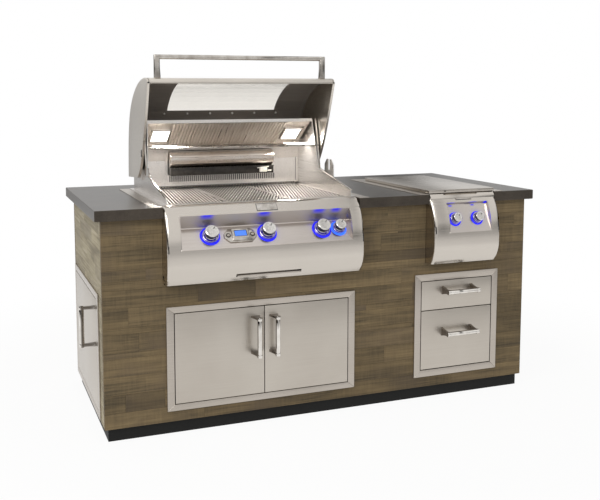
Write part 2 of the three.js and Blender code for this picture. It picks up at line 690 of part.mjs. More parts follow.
function pocketFrame(shape) {
  const tilt = shape.tilt * rad;
  const bottom = new THREE.Vector2(bullY(shape.bottom), shape.bottom);
  const top = new THREE.Vector2(bullY(shape.top), shape.top);
  const up = new THREE.Vector2(Math.sin(tilt), Math.cos(tilt));
  const out = new THREE.Vector2(-Math.cos(tilt), Math.sin(tilt));
  const ridge = bottom.clone().addScaledVector(up, (shape.ridge - shape.bottom) / Math.cos(tilt));
  const topUp = top.clone().sub(ridge).normalize();
  const topOut = new THREE.Vector2(-topUp.y, topUp.x);
  return { tilt, bottom, top, up, out, ridge, topUp, topOut };
}

// The space in front of the two folded faces, moved forward by a distance
function pocketOutline(shape, distance) {
  const f = pocketFrame(shape);
  const low = f.bottom.clone().addScaledVector(f.out, distance);
  const high = f.top.clone().addScaledVector(f.topOut, distance);
  const across = f.up.cross(f.topUp);
  const along = high.clone().sub(low).cross(f.topUp) / across;
  const ridge = low.clone().addScaledVector(f.up, along);
  low.addScaledVector(f.up, -overrun);
  high.addScaledVector(f.topUp, overrun);
  const farY = panelBack - bull.bulge - 2 * overrun;
  return [[low.x, low.y], [ridge.x, ridge.y], [high.x, high.y], [farY, high.y], [farY, low.y]];
}

// Matrix of the sloping knob face: local X right, local Y up the slope, local Z out of it
function faceMatrix(shape, x, rise, lift = 0) {
  const f = pocketFrame(shape);
  const y = f.bottom.x + f.up.x * rise + f.out.x * (shape.sheet + lift);
  const z = f.bottom.y + f.up.y * rise + f.out.y * (shape.sheet + lift);
  return new THREE.Matrix4().makeRotationX(Math.PI / 2 - f.tilt).setPosition(x, y, z);
}

function panelRegion(x0, x1) {
  return alongX([...bullPoints, [panelBack, bull.bottom]], x0, x1);
}

function buildPanel(names, x0, x1, shape, extras) {
  const wall = bull.wall;
  const inner = offsetOutline(bullPoints, wall, -1).filter(([, z]) => z > bull.bottom + wall);
  const lipY = bullPoints.at(-1)[0] + bull.lip;
  const hollow = [
    ...inner, [inner.at(-1)[0], bull.bottom + wall], [lipY, bull.bottom + wall], [lipY, bull.bottom - overrun],
    [panelBack + overrun, bull.bottom - overrun], [panelBack + overrun, inner[0][1]],
  ];
  const shell = cut(panelRegion(x0, x1), alongX(hollow, x0 + wall, x1 - wall));
  const left = x0 + shape.leftIn;
  const right = x1 - shape.rightIn;
  const opened = cut(shell, alongX(pocketOutline(shape, -fit), left, right), ...extras.panelCuts);
  addPiece(names.panel, opened, looks.steel);
  const region = panelRegion(left + fit, right - fit);
  const folded = region.intersect(alongX(pocketOutline(shape, 0), left - overrun, right + overrun));
  const recess = alongX(pocketOutline(shape, shape.sheet), left + fit + shape.sheet, right - fit - shape.sheet);
  const fascia = joined(cut(folded, recess), ...extras.bezels);
  addPiece(names.fascia, cut(fascia, ...extras.holes), looks.brightSteel);
}

function bezelRing(size, shape, x) {
  const ring = turned([
    [size.bezel - bezel.lip * 2, -bezel.foot], [size.bezel, -bezel.foot], [size.bezel, bezel.high - bezel.lip],
    [size.bezel - bezel.lip, bezel.high], [size.bezel - bezel.lip * 2, bezel.high],
    [size.bezel - bezel.lip * 2, -bezel.foot],
  ]);
  return placed(ring, faceMatrix(shape, x, kneeRise(size, shape)));
}

// How far up the sloping face a knob sits
function kneeRise(size, shape) {
  return size.rise / Math.cos(shape.tilt * rad);
}

function stemHole(size, shape, x) {
  const at = faceMatrix(shape, x, kneeRise(size, shape));
  return placed(rod(valve.stemHole, [0, 0, -overrun], [0, 0, bezel.high]), at);
}

function valveBody(size, shape, x) {
  const at = faceMatrix(shape, x, kneeRise(size, shape));
  return joined(
    placed(rod(valve.body, [0, 0, -valve.behind], [0, 0, -valve.behind + valve.bodyLong], roundSides / 2), at),
    placed(rod(size.bore, [0, 0, -valve.behind], [0, 0, valve.stemTop], smallSides), at),
  );
}

function gasPipe(list, shape, wallY, hangTop) {
  const spots = list.map(([size, x]) => [x, faceMatrix(shape, x, kneeRise(size, shape), -valve.behind)]);
  const { y, z } = new THREE.Vector3().setFromMatrixPosition(spots[0][1]);
  const xs = spots.map(([x]) => x);
  const x0 = Math.min(...xs) - valve.end;
  const x1 = Math.max(...xs) + valve.end;
  const pipe = rod(valve.tube, [x0, y, z], [x1, y, z], roundSides / 2);
  const ties = [x0 + valve.tie, x1 - valve.tie].flatMap((x) => {
    const near = x - valve.tie / 2;
    const far = x + valve.tie / 2;
    const tie = block(near, far, y, wallY, z - valve.tie / 2, z + valve.tie / 2);
    return hangTop ? [tie, block(near + fit, far - fit, wallY - valve.hanger, wallY - fit, z, hangTop)] : [tie];
  });
  return joined(pipe, ...ties, ...list.map(([size, x]) => valveBody(size, shape, x)));
}

function knobBody(size) {
  const low = size.stand;
  const neck = low + (size.high - low) / 3;
  const collar = low + (size.high - low) * 2 / 3;
  const bore = size.bore + fit;
  return turned([
    [0, valve.stemTop + fit], [bore, valve.stemTop + fit], [bore, low], [size.skirt, low],
    [size.waist, neck], [size.cap, collar], [size.cap, size.high - size.edge],
    [size.cap - size.edge, size.high], [0, size.high],
  ]);
}

function addKnob(name, size, shape, x) {
  const spot = new THREE.Group();
  spot.applyMatrix4(faceMatrix(shape, x, kneeRise(size, shape)));
  model.add(spot);
  addPiece(name, knobBody(size), looks.brightSteel, spot);
}

function buildGrillPanel() {
  const c = grillX;
  const half = grill.width / 2;
  const list = [
    ['burner_knob_1', knob, c + half * knobShares.first],
    ['burner_knob_2', knob, c + half * knobShares.second],
    ['burner_knob_3', knob, c + half * knobShares.third],
    ['rear_burner_knob', rearKnob, c + half * knobShares.rear],
  ];
  const slotHalf = tray.wide / 2 + tray.slot;
  const slot = block(c - slotHalf, c + slotHalf, panelBack - bull.bulge - overrun, panelBack - bull.wall,
    tray.z - tray.slot, tray.z + tray.high + tray.slot);
  const at = faceMatrix(pocket, c + half * display.placeShare, display.rise);
  const stems = [-display.buttonOut, display.buttonOut].map((x) => placed(
    rod(display.buttonStem + fit, [x, 0, -overrun], [x, 0, overrun]), at,
  ));
  buildPanel({ panel: 'grill_panel', fascia: 'grill_fascia' }, grillLeft, grillRight, pocket, {
    panelCuts: [slot],
    bezels: list.map(([, size, x]) => bezelRing(size, pocket, x)),
    holes: [...list.map(([, size, x]) => stemHole(size, pocket, x)), ...stems],
  });
  const knobs = list.map(([, size, x]) => [size, x]);
  addPiece('gas_manifold', gasPipe(knobs, pocket, boxFront - fit), looks.frameSteel);
  for (const [name, size, x] of list) addKnob(name, size, pocket, x);
}

function buildDisplay() {
  const d = display;
  const spot = new THREE.Group();
  spot.applyMatrix4(faceMatrix(pocket, grillX + grill.width / 2 * d.placeShare, d.rise));
  model.add(spot);
  const w = d.wide / 2;
  const h = d.high / 2;
  const bw = d.blockWide / 2;
  const bh = d.blockHigh / 2;
  const plate = alongZ([
    [-w, -h + d.chamfer], [-w + d.chamfer, -h], [w - d.chamfer, -h], [w, -h + d.chamfer],
    [w, h - d.chamfer], [w - d.chamfer, h], [-w + d.chamfer, h], [-w, h - d.chamfer],
  ], fit, d.plate);
  const raised = block(-bw, bw, -bh, bh, fit, d.block);
  const screenCut = block(-d.screenWide / 2 - fit, d.screenWide / 2 + fit, d.screenUp - d.screenHigh / 2 - fit,
    d.screenUp + d.screenHigh / 2 + fit, d.block - d.screenDeep - fit, d.block + overrun);
  const wells = [-1, 1].flatMap((sx) => [
    rod(d.buttonRadius + fit, [sx * d.buttonOut, 0, d.plate - d.buttonTravel - fit],
      [sx * d.buttonOut, 0, d.block], roundSides),
    rod(d.buttonStem + fit, [sx * d.buttonOut, 0, -fit], [sx * d.buttonOut, 0, d.block]),
  ]);
  addPiece('display_housing', cut(joined(plate, raised), screenCut, ...wells), looks.brightSteel, spot);
  addPiece('display_screen', block(-d.screenWide / 2, d.screenWide / 2, d.screenUp - d.screenHigh / 2,
    d.screenUp + d.screenHigh / 2, d.block - d.screenDeep, d.block - fit), looks.screen, spot);
  for (const [name, sx] of [['display_button_left', -1], ['display_button_right', 1]]) {
    const x = sx * d.buttonOut;
    const cap = rod(d.buttonRadius, [x, 0, d.plate], [x, 0, d.plate + d.buttonHigh], roundSides);
    const stem = rod(d.buttonStem, [x, 0, fit - d.buttonTravel], [x, 0, d.plate + d.buttonHigh / 2]);
    addPiece(name, joined(cap, stem), looks.steel, spot);
  }
}

function buildDripTray() {
  const c = grillX;
  const half = tray.wide / 2;
  const front = bullY(tray.z) - tray.ahead;
  const back = front + tray.deep;
  const pan = cut(
    block(c - half, c + half, front + tray.setBack, back, tray.z, tray.z + tray.high),
    block(c - half + tray.sheet, c + half - tray.sheet, front + tray.setBack + tray.sheet, back - tray.sheet,
      tray.z + tray.sheet, tray.z + tray.high + overrun),
  );
  const grip = block(c - half + fit, c + half - fit, front, front + tray.setBack + tray.sheet / 2,
    tray.z - tray.gripDrop, tray.z + tray.grip);
  addPiece('drip_tray', joined(pan, grip), looks.steel);
}

// Hood
function hoodPoint([u, v]) {
  return [hood.front + (hood.back - hood.front) * u, hood.bottom + (hood.top - hood.bottom) * v];
}

const hoodPoints = smoothOutline(hoodShares.map(hoodPoint), hood.steps);

function hoodAt(share) {
  const place = share * (hoodPoints.length - 1);
  const i = Math.floor(place);
  const [[y0, z0], [y1, z1]] = [hoodPoints[i], hoodPoints[i + 1]];
  return [y0 + (y1 - y0) * (place - i), z0 + (z1 - z0) * (place - i)];
}

function hoodStretch(start, end) {
  const last = hoodPoints.length - 1;
  return [hoodAt(start), ...hoodPoints.slice(Math.ceil(start * last), Math.floor(end * last) + 1), hoodAt(end)];
}

function buildHood() {
  const left = grillX - grill.width / 2;
  const right = grillX + grill.width / 2;
  const capOutline = [...hoodPoints, ...smoothOutline(rimShares.map(hoodPoint), hood.steps / 2)];
  const [lipStart, lipNext] = hoodPoints.map(([y, z]) => new THREE.Vector2(y, z));
  const lipEnd = lipNext.sub(lipStart).setLength(hood.wall).add(lipStart);
  const lipCorners = offsetOutline([lipStart.toArray(), lipEnd.toArray()], hood.lip, 1);
  const inner = offsetOutline(hoodPoints, hood.wall, 1).slice(1);
  const low = hood.bottom - overrun;
  const ahead = hood.front - overrun;
  const hollow = [
    ...lipCorners, ...offsetOutline([lipStart.toArray(), lipEnd.toArray()], hood.wall, 1).slice(1),
    ...inner, [inner.at(-1)[0], low], [ahead, low], [ahead, lipCorners[0][1]],
  ];
  const pinHoles = rod(hood.pin + fit, [left - overrun, hood.hingeY, hood.hingeZ],
    [right + overrun, hood.hingeY, hood.hingeZ], roundSides);
  const whole = alongX(capOutline, left, right, hood.capEdge);
  const w = hoodWindow;
  const windowHalf = grill.width / 2 - w.sideGap;
  const outerHalf = windowHalf + w.sight;
  const outerEnd = w.endShare + w.sightShare;
  const opening = alongX(band(hoodStretch(w.startShare, outerEnd), -overrun, hood.wall + overrun, 1),
    grillX - outerHalf, grillX + outerHalf);
  const shell = cut(whole, alongX(hollow, left + hood.cap, right - hood.cap), opening, pinHoles);
  addPiece('hood_shell', shell, looks.steel);
  const innerHalf = grill.width / 2 - hood.cap - fit;
  const linerPoints = hoodStretch(hood.linerStartShare, hood.linerEndShare);
  const linerOutline = [
    ...offsetOutline(linerPoints, hood.linerNear, 1, hood.linerFar),
    ...offsetOutline(linerPoints, hood.linerNear + hood.linerWall, 1, hood.linerFar + hood.linerWall).reverse(),
  ];
  const sheet = alongX(linerOutline, grillX - innerHalf, grillX + innerHalf);
  const linerOpening = alongX(band(hoodStretch(w.startShare, w.endShare), 0, hood.linerFar + overrun, 1),
    grillX - windowHalf, grillX + windowHalf);
  addPiece('hood_liner', cut(sheet, linerOpening), looks.darkLiner);
  const pane = alongX(
    band(hoodStretch(w.startShare - w.borderShare, outerEnd + w.borderShare), w.offset, w.offset + w.glass, 1),
    grillX - outerHalf - w.border, grillX + outerHalf + w.border,
  );
  addPiece('hood_window', pane, looks.glass);
}

function hoodTopZ(y) {
  const i = hoodPoints.findIndex((point) => point[0] >= y && point[1] > hood.hingeZ);
  const [a, b] = [hoodPoints[Math.max(i - 1, 0)], hoodPoints[Math.max(i, 1)]];
  return a[1] + (b[1] - a[1]) * (y - a[0]) / (b[0] - a[0]);
}

function buildHoodHandle() {
  const h = hoodHandle;
  const c = grillX;
  const half = grill.width / 2 - h.endGap;
  const bar = rod(h.tube, [c - half, h.y, h.z], [c + half, h.y, h.z], roundSides);
  const footY0 = h.y - h.postDeep / 2;
  const footY1 = h.y + h.postDeep / 2;
  const foot = Math.max(hoodTopZ(footY0), hoodTopZ(footY1), hoodTopZ(h.y)) + fit;
  const posts = [-1, 1].map((sx) => {
    const outer = c + sx * half;
    const waistZ = foot + (h.z - foot) * h.waistShare;
    const shape = [
      [outer, foot], [outer - sx * h.postWide, foot], [outer - sx * h.postTop, waistZ],
      [outer - sx * h.postTop, h.z], [outer, h.z],
    ];
    return alongY(shape, footY0, footY1);
  });
  addPiece('hood_handle', joined(bar, ...posts), looks.brightSteel);
}

// Side burner
function buildSideBurner() {
  const c = sideX;
  const half = sideBoxHalf;
  addPiece('side_liner', joined(
    hangingLiner(sideLeft, sideRight, side.back, side.flangeBack, 2 * sideBoxHalf, c),
    ...coverLugs(),
  ), looks.brightSteel);
  const wall = side.wall;
  const lipZ = linerTop + fit;
  const lipX = side.width / 2 - cover.edge;
  const section = [
    [c - half, side.floor], [c + half, side.floor], [c + half, lipZ], [c + lipX, lipZ],
    [c + lipX, lipZ + wall / 2], [c - lipX, lipZ + wall / 2], [c - lipX, lipZ], [c - half, lipZ],
  ];
  const [near, far] = [c - half + wall, c + half - wall];
  const box = cut(
    alongY(section, boxFront, side.back),
    block(near, far, boxFront + wall, side.back - wall, side.floor + wall, lipZ + overrun),
    block(near, far, boxFront - overrun, side.back + overrun, worktopZ, lipZ + overrun),
  );
  const restTop = worktopZ - sideGrate.set - sideGrate.thick - fit;
  const rests = [boxFront + fit, side.back - sideGrate.rest].map((y) => (
    block(c - half + fit, c + half - fit, y, y + sideGrate.rest - fit, restTop - wall, restTop)
  ));
  // The gas pipe and its two valves hang from the front of the box
  const valves = sideKnobs.map(([, size, x]) => [size, x]);
  const feed = gasPipe(valves, sidePocket, boxFront + wall / 2, side.floor + wall);
  addPiece('side_burner_box', joined(box, feed, ...rests), looks.steel);
  // One ring in the middle of each half of the box
  const halfDeep = (side.back - boxFront) / 2;
  const ringYs = [boxFront + halfDeep / 2, side.back - halfDeep / 2];
  const rings = ringYs.map((y) => {
    const ring = turned([
      [0, 0], [side.burnerRadius / 2, 0], [side.burnerRadius, side.burnerHigh / 2],
      [side.burnerRadius, side.burnerHigh * 3 / 4], [side.burnerRadius / 2, side.burnerHigh],
      [0, side.burnerHigh],
    ]);
    return placed(ring, new THREE.Matrix4().makeTranslation(c, y, side.floor + wall + fit + side.pipe * 2));
  });
  const pipeZ = side.floor + wall + fit + side.pipe;
  const pipe = block(c - side.pipe, c + side.pipe, boxFront + wall + fit, ringYs[1],
    pipeZ - side.pipe, pipeZ + side.pipe * 2);
  addPiece('side_burner_pair', joined(pipe, ...rings), looks.castIron);
  const g = sideGrate;
  const y0 = boxFront + wall + fit;
  const y1 = side.back - wall - fit;
  const x0 = c - half + wall + fit;
  const x1 = c + half - wall - fit;
  const z1 = worktopZ - g.set;
  const z0 = z1 - g.thick;
  const ringFrame = cut(
    block(x0, x1, y0, y1, z0, z1),
    block(x0 + g.bar, x1 - g.bar, y0 + g.bar, y1 - g.bar, z0 - overrun, z1 + overrun),
  );
  const middle = (y0 + y1) / 2;
  const crossing = block(x0 + fit, x1 - fit, middle - g.bar / 2, middle + g.bar / 2, z0 + g.step, z1 - g.step);
  const fingers = ringYs.flatMap((y) => (
    Array.from({ length: g.fingers }, (unused, i) => {
      const turn = 2 * Math.PI * i / g.fingers;
      const far = (i * 2 % g.fingers ? halfDeep : x1 - x0) / 2 + g.bar;
      const start = side.burnerRadius * g.innerShare;
      const finger = new THREE.BoxGeometry(far - start, g.bar - fit, g.thick - g.step);
      finger.translate((far + start) / 2, 0, (z0 + z1) / 2);
      finger.rotateZ(turn);
      finger.translate(c, y, 0);
      return solid(finger);
    })
  ));
  const field = block(x0, x1, y0, y1, z0, z1);
  const grateBody = joined(ringFrame, crossing, joined(...fingers).intersect(field));
  addPiece('side_grate', grateBody, looks.castIron);
}

// Lid over the side burner, hinged along its rear edge
const coverZ = linerTop + fit + side.wall;
const coverHinge = { y: side.back + cover.hinge * 2, z: coverZ + cover.hinge };

function coverLugs() {
  const size = cover.hinge;
  return [-1, 1].flatMap((sx) => {
    const outer = sideX + sx * (side.width / 2 - cover.knuckle);
    const inner = outer + sx * cover.knuckle / 2;
    const x0 = Math.min(outer, inner);
    const x1 = Math.max(outer, inner);
    const pinEnd = outer - sx * cover.knuckle;
    return [
      block(x0, x1, coverHinge.y - size / 2, coverHinge.y + size / 2, linerTop - liner.thick, coverHinge.z),
      rod(cover.pin, [inner, coverHinge.y, coverHinge.z], [pinEnd, coverHinge.y, coverHinge.z], roundSides),
    ];
  });
}

function buildCover() {
  const c = sideX;
  const x0 = sideLeft;
  const x1 = sideRight;
  const y0 = coverFront;
  const y1 = side.back;
  const z0 = coverZ + fit;
  const z1 = z0 + cover.high;
  const sheet = cover.sheet;
  const shell = cut(
    alongZ([[x0, y0], [x1, y0], [x1, y1], [x0, y1]], z0, z1, cover.edge / 2),
    block(x0 + sheet * 2, x1 - sheet * 2, y0 + sheet * 2, y1 - sheet * 2, z0 - overrun, z1 - sheet),
  );
  const knuckles = [-1, 1].map((sx) => {
    const near = c + sx * (side.width / 2 - cover.knuckle - fit * 2);
    const far = near - sx * cover.knuckle;
    const a = Math.min(near, far);
    const b = Math.max(near, far);
    const { y, z } = coverHinge;
    const barrel = rod(cover.hinge, [a, y, z], [b, y, z], roundSides);
    const tongue = block(a, b, y1 - sheet * 2, y, z, z + cover.hinge);
    const bore = rod(cover.pin + fit, [a - overrun, y, z], [b + overrun, y, z], roundSides);
    return cut(joined(barrel, tongue), bore);
  });
  const handle = block(c - cover.handleWide / 2, c + cover.handleWide / 2, y0 - cover.handleOut, y0 + sheet,
    z0 + cover.edge, z0 + cover.edge + cover.handleThick);
  addPiece('side_cover', joined(shell, handle, ...knuckles), looks.steel);
}

const sideKnobs = [
  ['side_knob_1', sideKnob, sideX + side.width / 2 * sideKnobShares.first],
  ['side_knob_2', sideKnob, sideX + side.width / 2 * sideKnobShares.second],
];

function buildSidePanel() {
  const c = sideX;
  const list = sideKnobs;
  buildPanel({ panel: 'side_panel', fascia: 'side_fascia' }, sideLeft, sideRight, sidePocket, {
    panelCuts: [],
    bezels: list.map(([, size, x]) => bezelRing(size, sidePocket, x)),
    holes: list.map(([, size, x]) => stemHole(size, sidePocket, x)),
  });
  for (const [name, size, x] of list) addKnob(name, size, sidePocket, x);
}

// A frame for doors or drawers, drawn facing forward: flange on the wall and a jamb behind it
function unitFrame(x0, x1, z0, z1, y) {
  const w = trim.wide;
  const set = w - trim.gap - trim.jamb;
  const open = w - trim.gap;
  const flange = block(x0, x1, y - fit - trim.proud, y - fit, z0, z1);
  const jamb = block(x0 + set, x1 - set, y - fit - trim.proud / 2, y + trim.jambDeep, z0 + set, z1 - set);
  const hole = block(x0 + open, x1 - open, y - trim.proud - overrun, y + trim.jambDeep + overrun,
    z0 + open, z1 - open);
  return cut(joined(flange, jamb), hole);
}

// A door pan with pivot pins near its outer front edge
function doorPan(x0, x1, z0, z1, y, hingeSide) {
  const front = y - fit - trim.proud;
  const pan = cut(
    block(x0, x1, front, front + trim.doorThick, z0, z1),
    block(x0 + trim.skin, x1 - trim.skin, front + trim.skin, front + trim.doorThick + overrun,
      z0 + trim.skin, z1 - trim.skin),
  );
  const px = hingeSide < 0 ? x0 + pivot.inset : x1 - pivot.inset;
  const py = front + pivot.back;
  const pins = [[z0, -1], [z1, 1]].map(([z, way]) => (
    rod(pivot.pin, [px, py, z - way * pivot.inset], [px, py, z + way * (trim.gap + pivot.past)], roundSides)
  ));
  const lug = pivot.inset + pivot.back;
  const lugs = [[z0, z0 + pivot.inset], [z1 - pivot.inset, z1]].map(([a, b]) => (
    block(Math.min(px - pivot.inset, px + hingeSide * pivot.inset), px + (hingeSide < 0 ? lug : pivot.inset),
      front, front + lug, a, b)
  ));
  return joined(pan, ...pins, ...lugs);
}

function pivotHole(px, y, z0, z1) {
  const py = y - fit - trim.proud + pivot.back;
  return rod(pivot.pin + fit, [px, py, z0], [px, py, z1], roundSides);
}

// A bar pull drawn lying along X and reaching forward to its bar
function pullBody(length) {
  const half = length / 2;
  const bar = rod(pull.bar, [-half, -pull.standoff, 0], [half, -pull.standoff, 0], roundSides);
  const collars = [-1, 1].map((sx) => (
    rod(pull.collar, [sx * (half + pull.cuff), -pull.standoff, 0],
      [sx * (half - pull.collarLong), -pull.standoff, 0], roundSides)
  ));
  const edge = (way) => Array.from({ length: pull.steps + 1 }, (unused, i) => {
    const t = i / pull.steps;
    return [-fit - (pull.standoff - fit) * t, way * (pull.bar + (pull.flare - pull.bar) * (1 - t) ** 2)];
  });
  const post = [...edge(1), ...edge(-1).reverse()];
  const posts = [-1, 1].map((sx) => {
    const outer = sx * (half - pull.cuff);
    const inner = sx * (half - pull.post + pull.cuff);
    return alongX(post, Math.min(outer, inner), Math.max(outer, inner));
  });
  return joined(bar, ...collars, ...posts);
}

const doorFace = faceY - fit - trim.proud;

function addPull(name, length, place) {
  const spot = new THREE.Group();
  spot.applyMatrix4(place);
  model.add(spot);
  addPiece(name, pullBody(length), looks.brightSteel, spot);
}

function buildDoors() {
  const { left, right, bottom, top } = doors;
  const w = trim.wide;
  const middle = (left + right) / 2;
  const leftX = left + w + pivot.inset;
  const rightX = right - w - pivot.inset;
  const frameBody = cut(unitFrame(left, right, bottom, top, faceY),
    pivotHole(leftX, faceY, bottom + w - trim.gap - trim.jamb - fit, bottom + w),
    pivotHole(leftX, faceY, top - w, top - w + trim.gap + trim.jamb + fit),
    pivotHole(rightX, faceY, bottom + w - trim.gap - trim.jamb - fit, bottom + w),
    pivotHole(rightX, faceY, top - w, top - w + trim.gap + trim.jamb + fit));
  addPiece('access_door_frame', frameBody, looks.steel);
  const leftPan = doorPan(left + w, middle - trim.gap / 2, bottom + w, top - w, faceY, -1);
  const rightPan = doorPan(middle + trim.gap / 2, right - w, bottom + w, top - w, faceY, 1);
  addPiece('access_door_left', leftPan, looks.steel);
  addPiece('access_door_right', rightPan, looks.steel);
  const length = doors.handleHigh - doors.handleLow;
  const z = (doors.handleHigh + doors.handleLow) / 2;
  for (const [name, sx] of [['access_handle_left', -1], ['access_handle_right', 1]]) {
    const place = new THREE.Matrix4().makeRotationY(Math.PI / 2);
    addPull(name, length, place.setPosition(middle + sx * doors.handleOut, doorFace, z));
  }
}

function buildDrawers() {
  const { left, right, bottom, top, split, deep, rail, railThick, sheet } = drawers;
  const w = trim.wide;
  const open = w - trim.gap;
  const x0 = left + open - trim.jamb;
  const x1 = right - open + trim.jamb;
  const z0 = bottom + open - trim.jamb;
  const z1 = top - open + trim.jamb;
  const y0 = faceY + trim.jambDeep - trim.jamb;
  const y1 = faceY + deep;
  const carcass = cut(
    block(x0, x1, y0, y1, z0, z1),
    block(left + open, right - open, y0 - overrun, y1 - sheet, bottom + open, top - open),
  );
  const levels = [bottom + w + drawers.floorRise, split + trim.gap / 2 + drawers.floorRise];
  const rails = levels.flatMap((z) => [
    block(x0, left + open + rail, y0, y1, z - fit - railThick, z - fit),
    block(right - open - rail, x1, y0, y1, z - fit - railThick, z - fit),
  ]);
  addPiece('drawer_frame', joined(unitFrame(left, right, bottom, top, faceY), carcass, ...rails), looks.steel);
  const lowWall = Math.round((split - bottom) * drawers.lowWallShare);
  const highWall = Math.round((top - split) * drawers.highWallShare);
  const list = [
    ['drawer_lower', bottom + w, split - trim.gap / 2, levels[0], lowWall],
    ['drawer_upper', split + trim.gap / 2, top - w, levels[1], highWall],
  ];
  for (const [name, low, high, floor, wallHigh] of list) {
    const front = block(left + w, right - w, doorFace, doorFace + trim.doorThick, low, high);
    const bx0 = left + open + drawers.sideSlack;
    const bx1 = right - open - drawers.sideSlack;
    const by1 = y1 - sheet - overrun;
    const pan = cut(
      block(bx0, bx1, doorFace + trim.doorThick - sheet, by1, floor, floor + wallHigh),
      block(bx0 + sheet, bx1 - sheet, doorFace + trim.doorThick, by1 - sheet,
        floor + sheet, floor + wallHigh + overrun),
    );
    addPiece(name, joined(front, pan), looks.steel);
  }
  const { handleLong, lowHandle, highHandle } = drawers;
  for (const [name, z] of [['drawer_pull_lower', lowHandle], ['drawer_pull_upper', highHandle]]) {
    addPull(name, handleLong, new THREE.Matrix4().setPosition((left + right) / 2, doorFace, z));
  }
}

// The end door is drawn facing forward and turned a quarter to face left
function buildEndDoor() {
  const turn = new THREE.Matrix4().makeRotationZ(-Math.PI / 2);
  const toEnd = (body) => placed(body, turn);
  const { front, back, bottom, top } = endDoor;
  const w = trim.wide;
  const wallY = -endX;
  const hingeX = -back + w + pivot.inset;
  const frameBody = cut(unitFrame(-back, -front, bottom, top, wallY),
    pivotHole(hingeX, wallY, bottom + w - trim.gap - trim.jamb - fit, bottom + w),
    pivotHole(hingeX, wallY, top - w, top - w + trim.gap + trim.jamb + fit));
  addPiece('end_door_frame', toEnd(frameBody), looks.steel);
  addPiece('end_door', toEnd(doorPan(-back + w, -front - w, bottom + w, top - w, wallY, -1)), looks.steel);
  const length = endDoor.handleHigh - endDoor.handleLow;
  const z = (endDoor.handleHigh + endDoor.handleLow) / 2;
  const place = turn.clone().multiply(new THREE.Matrix4().makeRotationY(Math.PI / 2));
  addPull('end_door_pull', length, place.setPosition(-endX - fit - trim.proud, endDoor.handleY, z));
}

buildPlinth();
buildCabinetFrame();
buildCladding();
buildCountertop();
buildGrillLiner();
buildFirebox();
buildRearHousing();
buildReflector();
buildRearBurner();
buildWarmingRack();
buildBurners();
buildFlavorPlate();
buildGrates();
buildGrillPanel();
buildDisplay();
buildDripTray();
buildHood();
buildHoodHandle();
buildSideBurner();
buildSidePanel();
buildCover();
buildDoors();
buildDrawers();
buildEndDoor();

export default model;
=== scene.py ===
# Outdoor kitchen island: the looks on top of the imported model, in metres, same frame as the model.
import bpy
import math
from mathutils import Matrix, Vector


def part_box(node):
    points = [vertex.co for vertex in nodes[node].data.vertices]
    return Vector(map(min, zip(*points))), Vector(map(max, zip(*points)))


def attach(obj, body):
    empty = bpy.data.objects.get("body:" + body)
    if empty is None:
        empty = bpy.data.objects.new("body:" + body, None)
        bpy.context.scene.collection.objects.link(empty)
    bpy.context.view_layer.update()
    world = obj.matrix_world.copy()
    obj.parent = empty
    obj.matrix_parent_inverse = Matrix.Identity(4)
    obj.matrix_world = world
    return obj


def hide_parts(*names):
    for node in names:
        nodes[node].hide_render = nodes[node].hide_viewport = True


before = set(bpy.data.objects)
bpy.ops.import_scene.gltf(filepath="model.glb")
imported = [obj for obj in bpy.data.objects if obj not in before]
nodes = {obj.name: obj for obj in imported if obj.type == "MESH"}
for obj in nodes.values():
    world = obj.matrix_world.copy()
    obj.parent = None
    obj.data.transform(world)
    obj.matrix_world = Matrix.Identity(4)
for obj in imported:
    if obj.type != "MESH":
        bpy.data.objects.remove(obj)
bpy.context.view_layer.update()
mm = 0.001


# An sRGB hex code as a linear colour
def hexColor(code):
    parts = [int(code[i:i + 2], 16) / 255 for i in (0, 2, 4)]
    return tuple(c / 12.92 if c <= 0.04045 else ((c + 0.055) / 1.055) ** 2.4 for c in parts) + (1.0,)


# Settings are the node's own, or its sockets' values; "stops" are the places and colours of a ramp
def addNode(tree, kind, settings=None, links=None):
    node = tree.nodes.new(kind)
    for name, value in (settings or {}).items():
        if name == "stops":
            for i, (spot, code) in enumerate(value):
                stop = node.color_ramp.elements[i] if i < 2 else node.color_ramp.elements.new(spot)
                stop.position = spot
                stop.color = hexColor(code)
        elif not isinstance(name, int) and hasattr(node, name):
            setattr(node, name, value)
        else:
            node.inputs[name].default_value = value
    link(tree, node, links or {})
    return node


def link(tree, node, links):
    for name, source in links.items():
        tree.links.new(source, node.inputs[name])


def newMaterial(name, settings):
    material = bpy.data.materials.new(name)
    material.use_nodes = True
    shader = material.node_tree.nodes["Principled BSDF"]
    for socket, value in settings.items():
        shader.inputs[socket].default_value = value
    return material, material.node_tree, shader


def clearSelection():
    if bpy.context.object and bpy.context.object.mode != "OBJECT":
        bpy.ops.object.mode_set(mode="OBJECT")
    bpy.ops.object.select_all(action="DESELECT")


def pick(piece):
    clearSelection()
    piece.select_set(True)
    bpy.context.view_layer.objects.active = piece


def named(name):
    piece = bpy.context.object
    piece.name = name
    piece.data.name = name
    bpy.ops.object.transform_apply(location=True, rotation=True, scale=True)
    return piece


def useModifier(piece, kind, **settings):
    pick(piece)
    modifier = piece.modifiers.new(kind.title(), kind)
    for key, value in settings.items():
        setattr(modifier, key, value)
    bpy.ops.object.modifier_apply(modifier=modifier.name)
    return piece


def smooth(piece, angle=32):
    pick(piece)
    bpy.ops.object.shade_smooth_by_angle(angle=math.radians(angle))
    return piece


def join(name, pieces):
    clearSelection()
    for piece in pieces:
        piece.select_set(True)
    bpy.context.view_layer.objects.active = pieces[0]
    if len(pieces) > 1:
        bpy.ops.object.join()
    pieces[0].name = name
    pieces[0].data.name = name
    return pieces[0]


def place(piece, matrix):
    pick(piece)
    piece.matrix_world = matrix
    bpy.ops.object.transform_apply(location=True, rotation=True, scale=True)
    return piece


def moveBy(x, y, z):
    return Matrix.Translation(Vector((x, y, z)) * mm)


